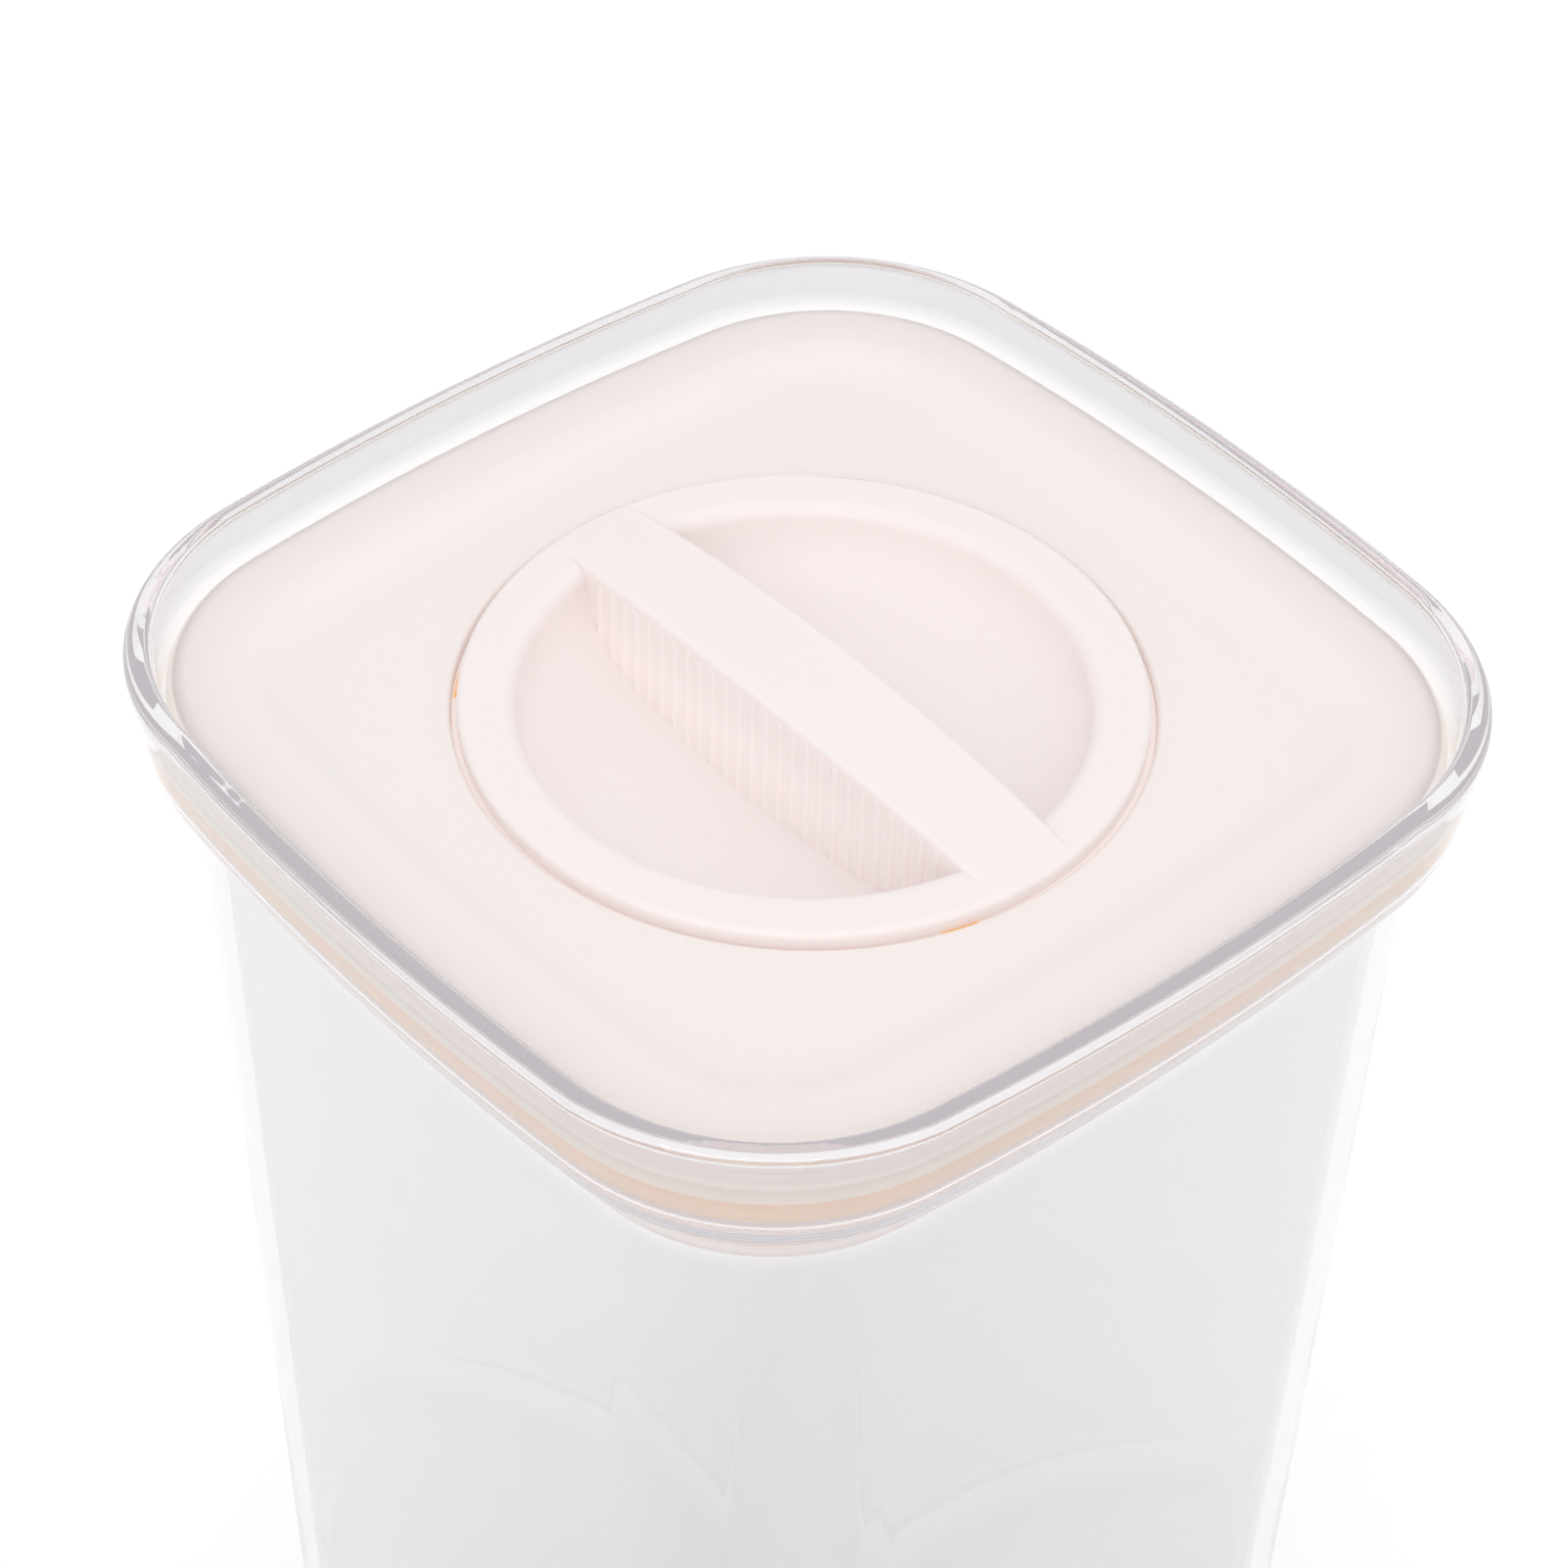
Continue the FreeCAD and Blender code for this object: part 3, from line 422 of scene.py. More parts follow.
def moulded_group():
    """Faint mottle and mould grain of a moulded surface, from its place on the object."""
    tree = bpy.data.node_groups.new("moulded surface", "ShaderNodeTree")
    given = (("Colour", "Color"), ("Mottle", "Float"), ("Roughness", "Float"), ("Grain scale", "Float"))
    made = (("Colour", "Color"), ("Roughness", "Float"), ("Height", "Float"))
    for way, sockets in (("INPUT", given), ("OUTPUT", made)):
        for name, kind in sockets:
            tree.interface.new_socket(name=name, in_out=way, socket_type="NodeSocket" + kind)
    nodes, links = tree.nodes, tree.links
    given, out = nodes.new("NodeGroupInput"), nodes.new("NodeGroupOutput")
    place = nodes.new("ShaderNodeTexCoord")
    cloud, grain = nodes.new("ShaderNodeTexNoise"), nodes.new("ShaderNodeTexNoise")
    cloud.inputs["Scale"].default_value = MOTTLE_SCALE
    cloud.inputs["Detail"].default_value = MOTTLE_DETAIL
    grain.inputs["Detail"].default_value = GRAIN_DETAIL
    links.new(place.outputs["Object"], cloud.inputs["Vector"])
    links.new(place.outputs["Object"], grain.inputs["Vector"])
    links.new(given.outputs["Grain scale"], grain.inputs["Scale"])
    shade = nodes.new("ShaderNodeMath")
    shade.operation = "MULTIPLY_ADD"
    links.new(cloud.outputs["Fac"], shade.inputs[0])
    links.new(given.outputs["Mottle"], shade.inputs[1])
    shade.inputs[2].default_value = 1.0
    less = nodes.new("ShaderNodeMath")
    less.operation = "MULTIPLY_ADD"
    links.new(given.outputs["Mottle"], less.inputs[0])
    less.inputs[1].default_value = -0.5
    links.new(shade.outputs[0], less.inputs[2])
    tint = nodes.new("ShaderNodeVectorMath")
    tint.operation = "SCALE"
    links.new(given.outputs["Colour"], tint.inputs[0])
    links.new(less.outputs[0], tint.inputs["Scale"])
    links.new(tint.outputs[0], out.inputs["Colour"])
    rough = nodes.new("ShaderNodeMath")
    rough.operation = "MULTIPLY_ADD"
    links.new(grain.outputs["Fac"], rough.inputs[0])
    rough.inputs[1].default_value = ROUGHNESS_CHANGE
    links.new(given.outputs["Roughness"], rough.inputs[2])
    links.new(rough.outputs[0], out.inputs["Roughness"])
    links.new(grain.outputs["Fac"], out.inputs["Height"])
    return tree


MOULDED = moulded_group()


def surface(name):
    """A new material, its node tree and its main shader."""
    material = bpy.data.materials.new(name)
    material.use_nodes = True
    tree = material.node_tree
    return material, tree, tree.nodes["Principled BSDF"]


def moulded(name, tone, roughness, mottle=0.012, grain=GRAIN_SCALE, soft=0.0, metal=0.0):
    """Moulded plastic, rubber or drawn metal with faint mottle and grain."""
    material, tree, shader = surface(name)
    group = tree.nodes.new("ShaderNodeGroup")
    group.node_tree = MOULDED
    group.inputs["Colour"].default_value = (*tone, 1)
    group.inputs["Mottle"].default_value = mottle
    group.inputs["Roughness"].default_value = roughness
    group.inputs["Grain scale"].default_value = grain
    tree.links.new(group.outputs["Colour"], shader.inputs["Base Color"])
    tree.links.new(group.outputs["Roughness"], shader.inputs["Roughness"])
    raised = tree.nodes.new("ShaderNodeBump")
    raised.inputs["Distance"].default_value = GRAIN_DEPTH
    raised.inputs["Strength"].default_value = GRAIN_STRENGTH
    tree.links.new(group.outputs["Height"], raised.inputs["Height"])
    tree.links.new(raised.outputs["Normal"], shader.inputs["Normal"])
    shader.inputs["Metallic"].default_value = metal
    if soft:
        shader.inputs["Subsurface Weight"].default_value = soft
        shader.inputs["Subsurface Radius"].default_value = SOFT_RADIUS
        shader.inputs["Subsurface Scale"].default_value = SOFT_SCALE
    return material


def clear_plastic(name, tone, painted):
    """Clear hard plastic, faintly wavy from moulding, with painted light where a ray is caught in its wall.
    """
    material, tree, shader = surface(name)
    shader.inputs["Base Color"].default_value = (*tone, 1)
    shader.inputs["Roughness"].default_value = 0.0
    shader.inputs["IOR"].default_value = CLEAR_IOR
    shader.inputs["Transmission Weight"].default_value = 1.0
    path = tree.nodes.new("ShaderNodeLightPath")
    caught = tree.nodes.new("ShaderNodeMath")
    caught.operation = "COMPARE"
    caught.inputs[1].default_value = CAUGHT_DEPTH
    caught.inputs[2].default_value = 0.5
    painted_glow = tree.nodes.new("ShaderNodeVectorMath")
    painted_glow.operation = "SCALE"
    tree.links.new(height_ramp(tree, painted), painted_glow.inputs[0])
    tree.links.new(path.outputs["Ray Depth"], caught.inputs[0])
    tree.links.new(caught.outputs[0], painted_glow.inputs["Scale"])
    # Painted light: the clear wall glows where a ray is caught in it
    tree.links.new(painted_glow.outputs[0], shader.inputs["Emission Color"])
    shader.inputs["Emission Strength"].default_value = 1.0
    place = tree.nodes.new("ShaderNodeTexCoord")
    wave = tree.nodes.new("ShaderNodeTexNoise")
    wave.inputs["Scale"].default_value = WAVE_SCALE
    wave.inputs["Detail"].default_value = WAVE_DETAIL
    raised = tree.nodes.new("ShaderNodeBump")
    raised.inputs["Distance"].default_value = WAVE_DEPTH
    raised.inputs["Strength"].default_value = WAVE_STRENGTH
    tree.links.new(place.outputs["Object"], wave.inputs["Vector"])
    tree.links.new(wave.outputs["Fac"], raised.inputs["Height"])
    tree.links.new(raised.outputs["Normal"], shader.inputs["Normal"])
    return material


def height_ramp(tree, stops, kept=False):
    """A colour that runs through tones set at rising heights on the piece, or at the heights that a
    soft piece keeps from its rest shape."""
    low, high = stops[0][0], stops[-1][0]
    level = tree.nodes.new("ShaderNodeMapRange")
    if kept:
        rest = tree.nodes.new("ShaderNodeAttribute")
        rest.attribute_name = REST_HEIGHT
        tree.links.new(rest.outputs["Fac"], level.inputs["Value"])
    else:
        place = tree.nodes.new("ShaderNodeTexCoord")
        split = tree.nodes.new("ShaderNodeSeparateXYZ")
        tree.links.new(place.outputs["Object"], split.inputs[0])
        tree.links.new(split.outputs["Z"], level.inputs["Value"])
    level.inputs["From Min"].default_value = low
    level.inputs["From Max"].default_value = high
    ramp = tree.nodes.new("ShaderNodeValToRGB")
    ramp.color_ramp.interpolation = "EASE"
    entries = ramp.color_ramp.elements
    while len(entries) < len(stops):
        entries.new(0.5)
    for entry, (height, tone) in zip(entries, stops):
        entry.position = (height - low) / (high - low)
        entry.color = (*tone, 1)
    tree.links.new(level.outputs["Result"], ramp.inputs["Fac"])
    return ramp.outputs["Color"]


def by_height(material, stops, kept=False):
    """Colour a material by height."""
    tree = material.node_tree
    group = [node for node in tree.nodes if node.type == "GROUP"]
    target = group[0].inputs["Colour"] if group else tree.nodes["Principled BSDF"].inputs["Base Color"]
    tree.links.new(height_ramp(tree, stops, kept), target)


def past_round(tree, reach):
    """One outside a square with large round corners, seen from above, and nothing inside it: past
    it, the fourth powers of X and Y add up to more than the reach's."""
    place = tree.nodes.new("ShaderNodeTexCoord")
    plan, squared, away = (tree.nodes.new("ShaderNodeVectorMath") for _ in range(3))
    plan.operation = squared.operation = "MULTIPLY"
    away.operation = "LENGTH"
    plan.inputs[1].default_value = (1, 1, 0)
    past = tree.nodes.new("ShaderNodeMath")
    past.operation = "GREATER_THAN"
    past.inputs[1].default_value = reach**2
    tree.links.new(place.outputs["Object"], plan.inputs[0])
    tree.links.new(plan.outputs["Vector"], squared.inputs[0])
    tree.links.new(plan.outputs["Vector"], squared.inputs[1])
    tree.links.new(squared.outputs["Vector"], away.inputs[0])
    tree.links.new(away.outputs["Value"], past.inputs[0])
    return past.outputs[0]


def paint_light_by_height(material, stops, strength=1.0, kept=False, reach=0.0):
    """Painted light that a piece glows with at some heights, and past a reach from the axis where one is
    given."""
    tree = material.node_tree
    shader = tree.nodes["Principled BSDF"]
    light = height_ramp(tree, stops, kept)
    if reach:
        glow = tree.nodes.new("ShaderNodeVectorMath")
        glow.operation = "SCALE"
        tree.links.new(light, glow.inputs[0])
        tree.links.new(past_round(tree, reach), glow.inputs["Scale"])
        light = glow.outputs[0]
    tree.links.new(light, shader.inputs["Emission Color"])
    shader.inputs["Emission Strength"].default_value = strength


def dress(obj, material):
    """Give an object one material on all its slots."""
    if not obj.material_slots:
        obj.data.materials.append(material)
    for entry in obj.material_slots:
        entry.material = material


# Pieces

class CONTAINER_OT_stage(bpy.types.Operator):
    """Set up the floor, the lamps, the surroundings and the camera"""
    bl_idname = "container.stage"
    bl_label = "Stage"

    def execute(self, context):
        settings = context.scene.container_stage
        self.camera()
        self.surroundings(settings)
        self.floor(settings)
        self.lamp("key_lamp", KEY_PLACE, KEY_WIDTH, settings.key)
        self.lamp("fill_lamp", FILL_PLACE, FILL_WIDTH, settings.fill)
        context.scene.view_settings.view_transform = "Standard"
        light = context.scene.cycles
        light.max_bounces = light.transmission_bounces = light.glossy_bounces = CAUGHT_DEPTH + 1
        light.diffuse_bounces = DIFFUSE_BOUNCES
        return {"FINISHED"}

    def camera(self):
        """Place the camera as in the photo."""
        pick_none()
        bpy.ops.object.camera_add()
        camera = bpy.context.object
        camera.name = "camera"
        turn = Matrix((CAMERA_RIGHT, CAMERA_UP, CAMERA_BACK)).transposed().to_4x4()
        camera.matrix_world = Matrix.Translation(CAMERA_PLACE) @ turn
        camera.data.sensor_width = SENSOR_WIDTH
        camera.data.lens = CAMERA_LENS
        camera.data.clip_start = CLIP_START
        bpy.context.scene.camera = camera

    def surroundings(self, settings):
        """Even light from all round, white where it is seen."""
        world = bpy.data.worlds.new("studio")
        bpy.context.scene.world = world
        world.use_nodes = True
        tree = world.node_tree
        paint = tree.nodes["Background"]
        paint.inputs["Color"].default_value = (1, 1, 1, 1)
        strength = tree.nodes.new("ShaderNodeMapRange")
        strength.inputs["To Min"].default_value = settings.ambient
        strength.inputs["To Max"].default_value = 1.0
        tree.links.new(self.seen(tree), strength.inputs["Value"])
        tree.links.new(strength.outputs[0], paint.inputs["Strength"])

    def seen(self, tree):
        """One where a ray comes from the camera or from a mirror or clear surface, else nothing."""
        ray = tree.nodes.new("ShaderNodeLightPath")
        found = ray.outputs["Is Camera Ray"]
        for name in ("Is Glossy Ray", "Is Transmission Ray"):
            either = tree.nodes.new("ShaderNodeMath")
            either.operation = "MAXIMUM"
            tree.links.new(found, either.inputs[0])
            tree.links.new(ray.outputs[name], either.inputs[1])
            found = either.outputs[0]
        return found

    def floor(self, settings):
        """A wide pale floor that takes the shadow, lifted to white where it is seen."""
        pick_none()
        bpy.ops.mesh.primitive_plane_add(size=FLOOR_WIDTH)
        floor = bpy.context.object
        floor.name = "floor"
        material, tree, shader = surface("studio floor")
        shader.inputs["Base Color"].default_value = (*settings.floor, 1)
        shader.inputs["Roughness"].default_value = FLOOR_ROUGHNESS
        lift = tree.nodes.new("ShaderNodeMath")
        lift.operation = "MULTIPLY"
        lift.inputs[1].default_value = settings.lift
        tree.links.new(self.seen(tree), lift.inputs[0])
        shader.inputs["Emission Color"].default_value = (1, 1, 1, 1)
        tree.links.new(lift.outputs[0], shader.inputs["Emission Strength"])
        dress(floor, material)

    def lamp(self, name, place, width, power):
        """A square lamp that points at the rim."""
        pick_none()
        bpy.ops.object.light_add(type="AREA", location=place)
        lamp = bpy.context.object
        lamp.name = name
        aim = Vector((0, 0, HEIGHT)) - Vector(place)
        lamp.rotation_euler = aim.to_track_quat("-Z", "Y").to_euler()
        lamp.data.shape = "SQUARE"
        lamp.data.size = width
        lamp.data.energy = power


class CONTAINER_OT_body(bpy.types.Operator):
    """Model the clear body: collar, ledge, tapering walls and the foot"""
    bl_idname = "container.body"
    bl_label = "Clear body"

    def execute(self, context):
        sizes = context.scene.container_body_sizes
        outer = self.outer(sizes)
        inner = self.inner(sizes)
        pick(outer)
        inner.select_set(True)
        bpy.ops.object.join()
        bpy.ops.object.mode_set(mode="EDIT")
        bpy.ops.mesh.select_all(action="SELECT")
        bpy.ops.mesh.remove_doubles(threshold=MERGE_GAP)
        finish_mesh(outer)
        dress(outer, self.clear(context, sizes))
        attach(outer, "container")
        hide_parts("container_body")
        return {"FINISHED"}

    def clear(self, context, sizes):
        """Clear plastic with painted shade, a darker tint below the neck and at the rim, and painted light
        where a ray is caught in its wall.
        """
        tones, depths = context.scene.container_finishes, context.scene.container_tone_depths
        top = sizes.height
        neck = top - sizes.neck_depth
        clear = clear_plastic("clear plastic", tones.clear,
                              ((top - depths.painted, tones.painted),
                               (top - sizes.collar_depth, tones.rim_painted_light)))
        # Painted shade: darker from a little over the floor up to the neck, and at the rim
        by_height(clear, ((sizes.floor_wall, tones.clear),
                          (sizes.floor_wall + depths.floor, tones.body_painted_shade),
                          (neck - sizes.neck_fillet, tones.body_painted_shade), (neck, tones.clear),
                          (top - depths.collar, tones.clear), (top - depths.rim, tones.rim_painted_shade)))
        return clear

    def taper(self, obj, start, low, end_share):
        """Draw each level below the start in towards the axis, in step with its depth."""
        heights = [vertex.co.z for vertex in obj.data.vertices]
        levels = sorted({round(height, 7) for height in heights if height < start - LEVEL_GAP})
        for z in levels:
            amount = 1 - (1 - end_share) * (start - z) / (start - low)
            pick_vertices(obj, lambda place: abs(place.z - z) < LEVEL_GAP)
            bpy.ops.transform.resize(value=(amount, amount, 1), center_override=(0, 0, 0))

    def outer(self, sizes):
        """The outside, from the rim down to the foot."""
        top = sizes.height
        lean = math.degrees(math.atan2(sizes.collar_lean, sizes.collar_depth - sizes.rim_round))
        neck_half = sizes.rim_half - sizes.neck_inset
        neck_top = top - sizes.neck_depth
        collar_end = (sizes.rim_half - sizes.collar_lean, top - sizes.collar_depth)
        upper, radius, lower, meet = shoulder(collar_end, lean, (neck_half, neck_top), sizes.neck_fillet)
        ratio = sizes.base_half / neck_half
        ring = (sizes.base_half - sizes.foot_round - sizes.foot_width) / ratio
        points = [(sizes.rim_half - sizes.rim_wall + sizes.rim_inner_round, top),
                  (sizes.rim_half - sizes.rim_round, top)]
        rim_centre = (sizes.rim_half - sizes.rim_round, top - sizes.rim_round)
        points += arc(rim_centre, sizes.rim_round, 90, -lean, EDGE_STEPS)
        collar_middle = top - (sizes.collar_depth + sizes.rim_round) / 2
        points += [(sizes.rim_half - sizes.collar_lean / 2, collar_middle), collar_end]
        points += arc(upper, radius, -lean, meet, COLLAR_STEPS)
        points += arc(lower, sizes.neck_fillet, meet + 180, 180, FILLET_STEPS)
        points += wall_line(neck_half, neck_top, sizes.foot_round)
        points += foot_curve(neck_half, sizes.foot_round, sizes.foot_round / ratio, sizes.foot_round)
        points += [(ring, 0), (ring, sizes.foot_recess)]
        obj = draw_line("body_painted_shade", points)
        spin_square(sizes)
        cap(obj, sizes.foot_recess)
        bpy.ops.object.mode_set(mode="OBJECT")
        self.taper(obj, neck_top, 0, ratio)
        bpy.ops.object.mode_set(mode="OBJECT")
        return obj

    def inner(self, sizes):
        """The inside, from the rim down to the floor."""
        top = sizes.height
        neck_inner = sizes.rim_half - sizes.neck_inset - sizes.wall
        neck_top = top - sizes.neck_depth
        neck_half = sizes.rim_half - sizes.neck_inset
        collar_inner = sizes.rim_half - sizes.rim_wall - sizes.collar_draft
        slope = (neck_half - sizes.base_half) / (sizes.height - sizes.neck_depth)
        floor_half = sizes.base_half + slope * sizes.floor_wall - sizes.wall
        ratio = floor_half / neck_inner
        start = (collar_inner, top - sizes.collar_depth)
        end = (neck_inner, top - sizes.ledge_end)
        upper, radius, lower, meet = shoulder(start, 0, end, sizes.ledge_fillet)
        rim_inner = sizes.rim_half - sizes.rim_wall
        round_in = (rim_inner + sizes.rim_inner_round, top - sizes.rim_inner_round)
        points = [(rim_inner + sizes.rim_inner_round, top)]
        points += arc(round_in, sizes.rim_inner_round, 90, 180, RIM_INNER_STEPS)
        points += [start]
        points += arc(upper, radius, 0, meet, FILLET_STEPS)
        points += arc(lower, sizes.ledge_fillet, meet + 180, 180, FILLET_STEPS)
        points += [(neck_inner, neck_top)]
        low = sizes.floor_wall + sizes.floor_round
        points += wall_line(neck_inner, neck_top, low)
        points += foot_curve(neck_inner, low, sizes.floor_round / ratio, sizes.floor_round)
        obj = draw_line("clear_body_inside", points)
        spin_square(sizes)
        cap(obj, sizes.floor_wall)
        bpy.ops.object.mode_set(mode="OBJECT")
        self.taper(obj, neck_top, sizes.floor_wall, ratio)
        bpy.ops.object.mode_set(mode="OBJECT")
        return obj


class CONTAINER_OT_gasket(bpy.types.Operator):
    """Model the ring gasket that the lid and the pressure plate squeeze between them"""
    bl_idname = "container.gasket"
    bl_label = "Gasket"

    def execute(self, context):
        sizes = context.scene.container_seal_sizes
        low, high = GASKET_BOX[0].z, GASKET_BOX[1].z
        inner = sizes.seal_half - sizes.wall
        lip_level = high - sizes.lip_drop
        upper = HEIGHT - context.scene.container_body_sizes.ledge_end - sizes.bead_height / 2
        lower = low + sizes.bead_height / 2
        points = [(inner, high), (sizes.lip_half, high)]
        half_height = sizes.lip_height / 2
        swell = (half_height**2 + sizes.lip_bulge**2) / (2 * sizes.lip_bulge)
        lip_swing = math.degrees(math.asin(half_height / swell))
        centre = (sizes.lip_half + sizes.lip_bulge - swell, high - half_height)
        points += arc(centre, swell, lip_swing, -lip_swing, LIP_STEPS)
        points += [(sizes.ledge_half, lip_level), (sizes.seal_half, lip_level)]
        for middle in (upper, lower):
            points.append((sizes.seal_half, middle + sizes.bead_height / 2))
            for step in range(1, BEAD_STEPS):
                swing = math.pi * step / BEAD_STEPS
                points.append((sizes.seal_half + sizes.bead * math.sin(swing),
                               middle + sizes.bead_height / 2 * math.cos(swing)))
            points.append((sizes.seal_half, middle - sizes.bead_height / 2))
        points += [(inner, low), (inner, (low + high) / 2), (inner, high)]
        obj = draw_line("gasket_ring", points)
        spin_square(context.scene.container_body_sizes)
        finish_mesh(obj)
        keep_heights(obj)
        dress(obj, self.silicone(context, lip_level, lip_level - sizes.lip_drop))
        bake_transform(obj)
        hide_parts("gasket")
        return {"FINISHED"}

    def silicone(self, context, lip_level, wall_level):
        """Peach silicone at the lip and paler at the thin wall, with painted light on both, stronger on the
        wall.
        """
        tones = context.scene.container_finishes
        silicone = moulded("gasket silicone", tones.silicone, roughness=0.5, mottle=0.02,
                           grain=SILICONE_GRAIN_SCALE, soft=0.3)
        by_height(silicone, ((wall_level, tones.silicone_wall), (lip_level, tones.silicone)), kept=True)
        paint_light_by_height(silicone, ((wall_level, tones.wall_painted_light), (lip_level, tones.lip_painted_light)), kept=True)
        return silicone


class CONTAINER_OT_small_seals(bpy.types.Operator):
    """Model the tray's flat seal and the small ring in the hub's groove"""
    bl_idname = "container.small_seals"
    bl_label = "Small seals"

    def execute(self, context):
        self.tray_seal(context)
        self.hub_ring(context)
        return {"FINISHED"}

    def tray_seal(self, context):
        """A flat ring with rounded edges."""
        sizes = context.scene.container_seal_sizes
        (_, _, low), (outer, _, high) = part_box("tray_seal")
        inner = outer - sizes.wall
        edge = sizes.ring_edge
        points = [(outer - edge, high)]
        points += arc((outer - edge, high - edge), edge, 90, 0, RING_EDGE_STEPS)
        points += [(outer, low + edge)]
        points += arc((outer - edge, low + edge), edge, 0, -90, RING_EDGE_STEPS)
        points += [(inner + edge, low)]
        points += arc((inner + edge, low + edge), edge, -90, -180, RING_EDGE_STEPS)
        points += [(inner, high - edge)]
        points += arc((inner + edge, high - edge), edge, 180, 90, RING_EDGE_STEPS)
        points += [(outer - edge, high)]
        obj = draw_line("tray_seal_ring", points)
        spin_square(context.scene.container_body_sizes)
        finish_mesh(obj)
        dress(obj, moulded("tray silicone", context.scene.container_finishes.tray_seal,
                           roughness=0.82, mottle=0.02, grain=SILICONE_GRAIN_SCALE))
        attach(obj, "plate")
        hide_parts("tray_seal")

    def hub_ring(self, context):
        """A round ring with a thin parting line above and below."""
        sizes = context.scene.container_seal_sizes
        (_, _, low), (outer, _, high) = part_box("hub_o_ring")
        radius = (high - low) / 2
        middle = outer - radius
        points = []
        parting = (SMALL_RING_STEPS // 4, SMALL_RING_STEPS * 3 // 4)
        for step in range(SMALL_RING_STEPS + 1):
            angle = math.tau * step / SMALL_RING_STEPS
            reach = radius + (sizes.ring_flash if step in parting else 0)
            points.append((middle + reach * math.cos(angle), (low + high) / 2 + reach * math.sin(angle)))
        obj = draw_line("hub_ring_seal", points)
        spin_round()
        finish_mesh(obj, RING_SHARP_ANGLE)
        dress(obj, moulded("ring rubber", context.scene.container_finishes.rubber, roughness=0.55,
                           mottle=0.1, grain=RUBBER_GRAIN_SCALE))
        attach(obj, "knob")
        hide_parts("hub_o_ring")


class CONTAINER_OT_springs(bpy.types.Operator):
    """Model the four coil springs round the guide screws"""
    bl_idname = "container.springs"
    bl_label = "Return springs"

    def execute(self, context):
        sizes = context.scene.container_seal_sizes
        steel = moulded("spring steel", context.scene.container_finishes.steel, roughness=0.28,
                        mottle=0.06, grain=METAL_GRAIN_SCALE, metal=1.0)
        for node in SPRING_NODES:
            low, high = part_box(node)
            coil = self.coil(node + "_coil", sizes, low, high)
            dress(coil, steel)
            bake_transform(coil)
            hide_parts(node)
        return {"FINISHED"}

    def coil(self, name, sizes, low, high):
        """Wind a circle of wire up round the middle of a box, and close its ends."""
        pick_none()
        bpy.ops.mesh.primitive_circle_add(vertices=WIRE_SIDES, radius=sizes.wire_radius,
                                          rotation=(math.pi / 2, 0, 0),
                                          location=(sizes.spring_radius, 0, low.z + sizes.wire_radius))
        coil = bpy.context.object
        coil.name = coil.data.name = name
        bpy.ops.object.transform_apply(location=True, rotation=True, scale=True)
        bpy.ops.object.modifier_add(type="SCREW")
        turn = coil.modifiers[-1]
        turn.iterations = sizes.spring_turns
        turn.screw_offset = (high.z - low.z - 2 * sizes.wire_radius) / sizes.spring_turns
        turn.steps = turn.render_steps = COIL_STEPS
        bpy.ops.object.modifier_apply(modifier=turn.name)
        bpy.ops.object.mode_set(mode="EDIT")
        bpy.ops.mesh.select_all(action="SELECT")
        bpy.ops.mesh.remove_doubles(threshold=MERGE_GAP)
        bpy.ops.mesh.select_all(action="DESELECT")
        bpy.ops.mesh.select_non_manifold()
        bpy.ops.mesh.edge_face_add()
        bpy.ops.mesh.select_all(action="SELECT")
        middle = (low + high) / 2
        bpy.ops.transform.translate(value=(middle.x, middle.y, 0))
        finish_mesh(coil, SPRING_SHARP_ANGLE)
        return coil


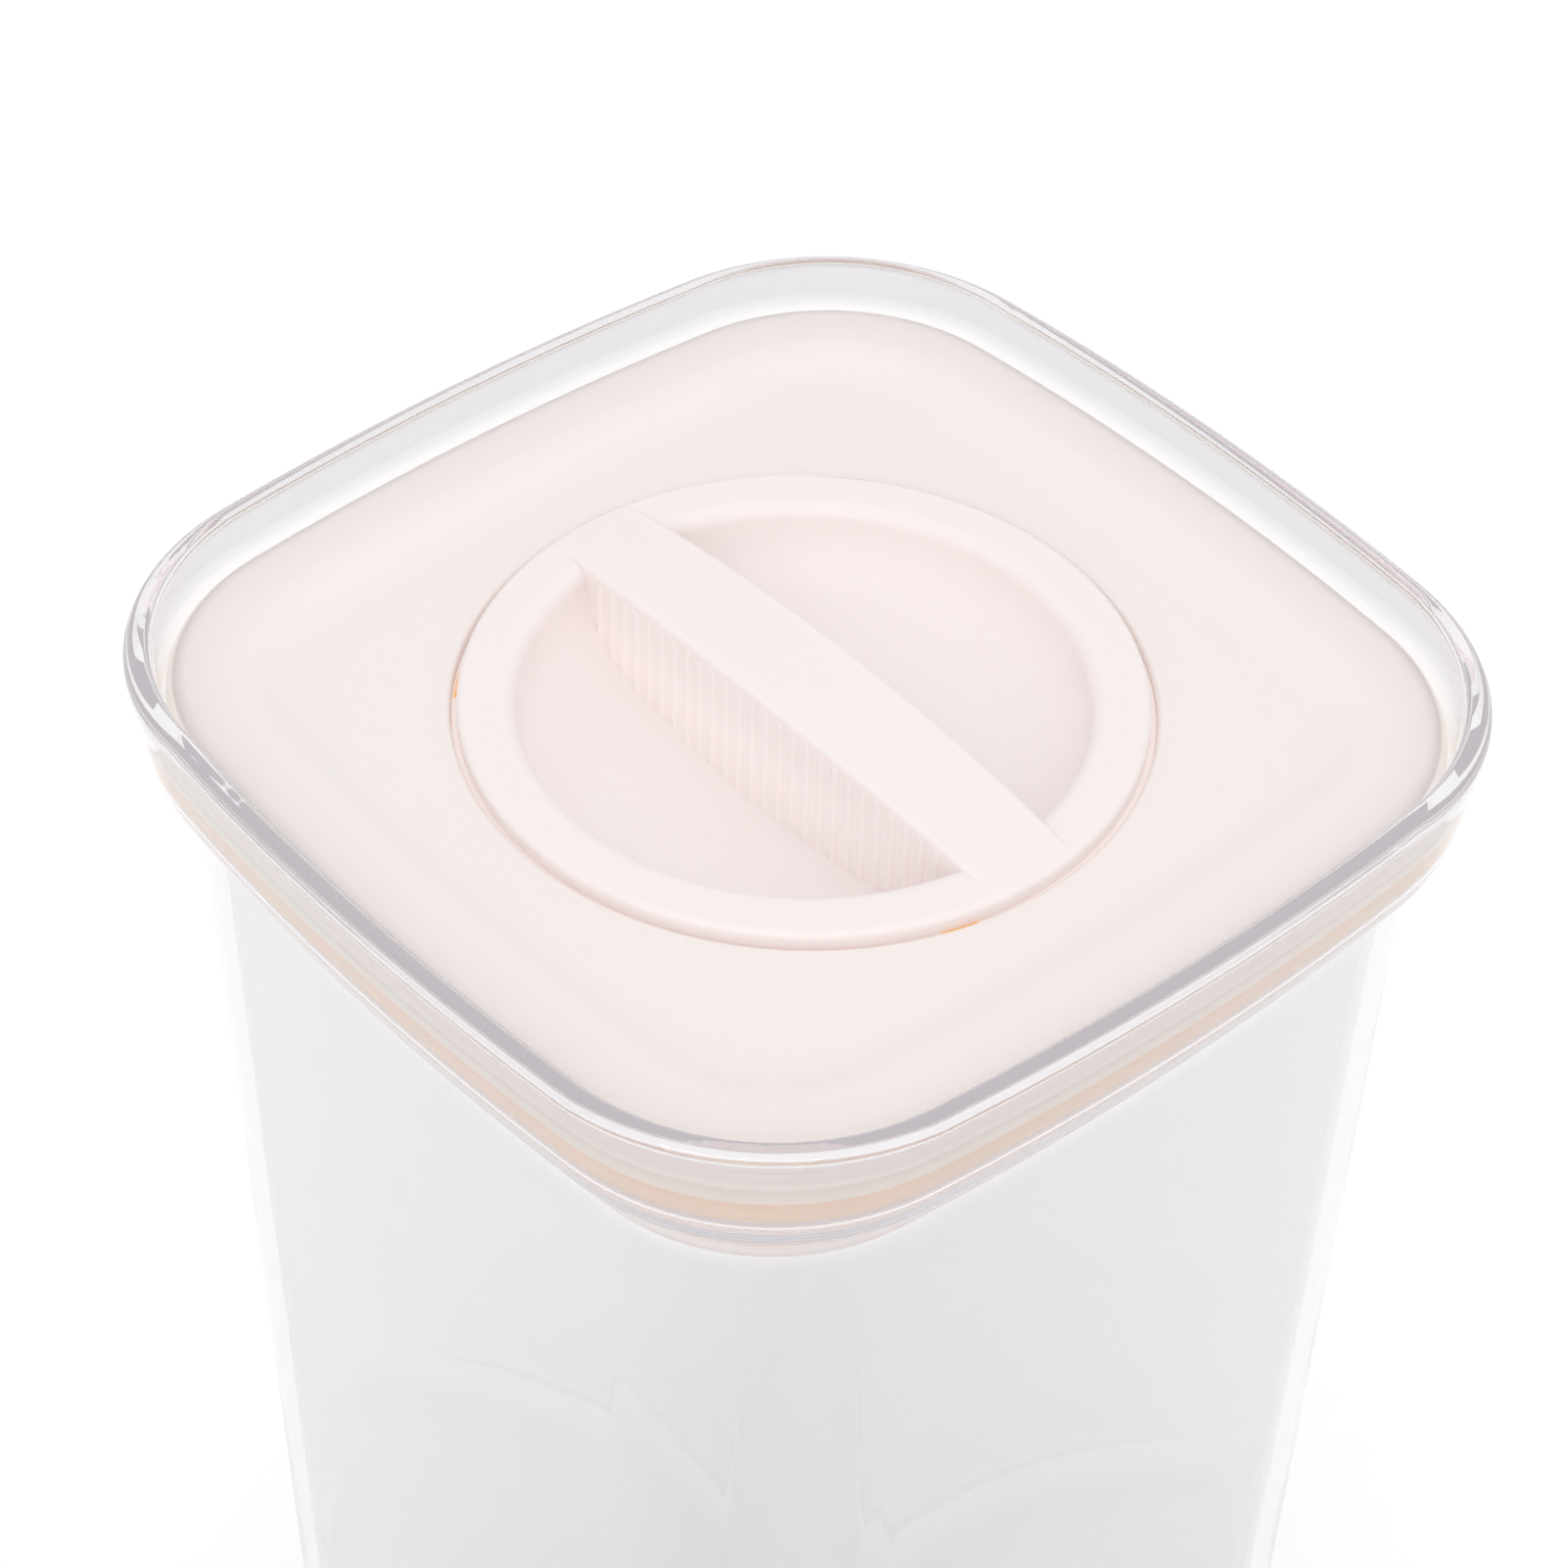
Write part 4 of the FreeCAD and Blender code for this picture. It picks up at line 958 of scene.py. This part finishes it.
class CONTAINER_OT_finishes(bpy.types.Operator):
    """Give the lid, the knob and the pieces under them their finishes"""
    bl_idname = "container.finishes"
    bl_label = "Finishes"

    def execute(self, context):
        tones, depths = context.scene.container_finishes, context.scene.container_tone_depths
        plate = moulded("plate plastic", tones.plate, roughness=0.45, soft=0.15)
        bearing = moulded("bearing plastic", tones.bearing, roughness=0.3, mottle=0.01)
        screws = moulded("screw steel", tones.steel, roughness=0.32, mottle=0.05,
                         grain=METAL_GRAIN_SCALE, metal=1.0)
        looks = {
            "lid_cover": self.lid(tones, depths),
            "twist_knob": self.knob(tones, depths),
            "knob_housing": self.housing(tones, depths),
            "cam_ring": moulded("cam plastic", tones.cam, roughness=0.3, mottle=0.02),
            "thrust_washer": bearing,
            "hub_bush": bearing,
            "cam_followers": bearing,
            "pressure_plate": plate,
            "plate_tray": plate,
            "housing_screws": screws,
            "hub_screw": screws,
            "hub_washer": screws,
            "guide_screws": screws,
        }
        for name, material in looks.items():
            dress(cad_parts[name], material)
        return {"FINISHED"}

    def lid(self, tones, depths):
        """Near-white plastic with painted light at its rounded edge and skirt."""
        cover = moulded("lid plastic", tones.lid, roughness=0.4, mottle=0.008, soft=0.2)
        _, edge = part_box("lid_cover")
        # Painted light: on the outer band only, on the skirt and the rounded edge, none on the top
        paint_light_by_height(cover, ((edge.z - depths.lid_skirt, tones.skirt_painted_light),
                               (edge.z - depths.lid_edge_end, tones.edge_painted_light),
                               (edge.z - depths.lid_edge, tones.edge_painted_light),
                               (edge.z - depths.lid_top, DARK)), reach=edge.x - depths.lid_edge_width)
        return cover

    def knob(self, tones, depths):
        """Near-white plastic with faint painted light deep in its bowl."""
        knob = moulded("knob plastic", tones.knob, roughness=0.38, mottle=0.006, soft=0.2)
        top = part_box("twist_knob")[1].z
        paint_light_by_height(knob, ((top - depths.bowl_floor, tones.bowl_painted_light), (top - depths.bowl_edge, DARK)))
        return knob

    def housing(self, tones, depths):
        """Near-white shelf under the gap round the knob, and a deep warm tone below it, with painted light
        on the shelf that fades out down the deep tone.
        """
        housing = moulded("housing plastic", tones.housing, roughness=0.45, soft=0.2)
        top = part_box("knob_housing")[1].z
        by_height(housing, ((top - depths.housing, tones.housing_deep),
                            (top - depths.shelf, tones.housing)))
        # Painted light: bright on the shelf, in the deep tone just below it, fading out further down
        paint_light_by_height(housing, ((top - depths.housing_dark, DARK),
                                 (top - depths.housing_dim, tones.housing_deep),
                                 (top - depths.housing, tones.housing_deep),
                                 (top - depths.shelf, tones.shelf_painted_light)), SHELF_PAINTED_LIGHT_STRENGTH)
        return housing


class CONTAINER_PT_panel(bpy.types.Panel):
    """Lists the container's pieces in the sidebar"""
    bl_idname = "CONTAINER_PT_panel"
    bl_label = "Cereal container"
    bl_space_type = "VIEW_3D"
    bl_region_type = "UI"
    bl_category = "Container"

    def draw(self, context):
        for operator in OPERATORS:
            self.layout.operator(operator.bl_idname)
        for group in GROUPS:
            settings = getattr(context.scene, group)
            for name in settings.__annotations__:
                self.layout.prop(settings, name)


OPERATORS = (CONTAINER_OT_stage, CONTAINER_OT_body, CONTAINER_OT_gasket, CONTAINER_OT_small_seals,
             CONTAINER_OT_springs, CONTAINER_OT_finishes)
GROUPS = {
    "container_body_sizes": BodySizes,
    "container_seal_sizes": SealSizes,
    "container_finishes": Finishes,
    "container_tone_depths": ToneDepths,
    "container_stage": StageSettings,
}


def register():
    for kind in (*GROUPS.values(), *OPERATORS, CONTAINER_PT_panel):
        bpy.utils.register_class(kind)
    for name, kind in GROUPS.items():
        setattr(bpy.types.Scene, name, bpy.props.PointerProperty(type=kind))


def unregister():
    for name in GROUPS:
        delattr(bpy.types.Scene, name)
    for kind in reversed((*GROUPS.values(), *OPERATORS, CONTAINER_PT_panel)):
        bpy.utils.unregister_class(kind)


def main():
    register()
    bpy.ops.container.stage()
    bpy.ops.container.body()
    bpy.ops.container.gasket()
    bpy.ops.container.small_seals()
    bpy.ops.container.springs()
    bpy.ops.container.finishes()
    pick_none()


if __name__ == "__main__":
    main()
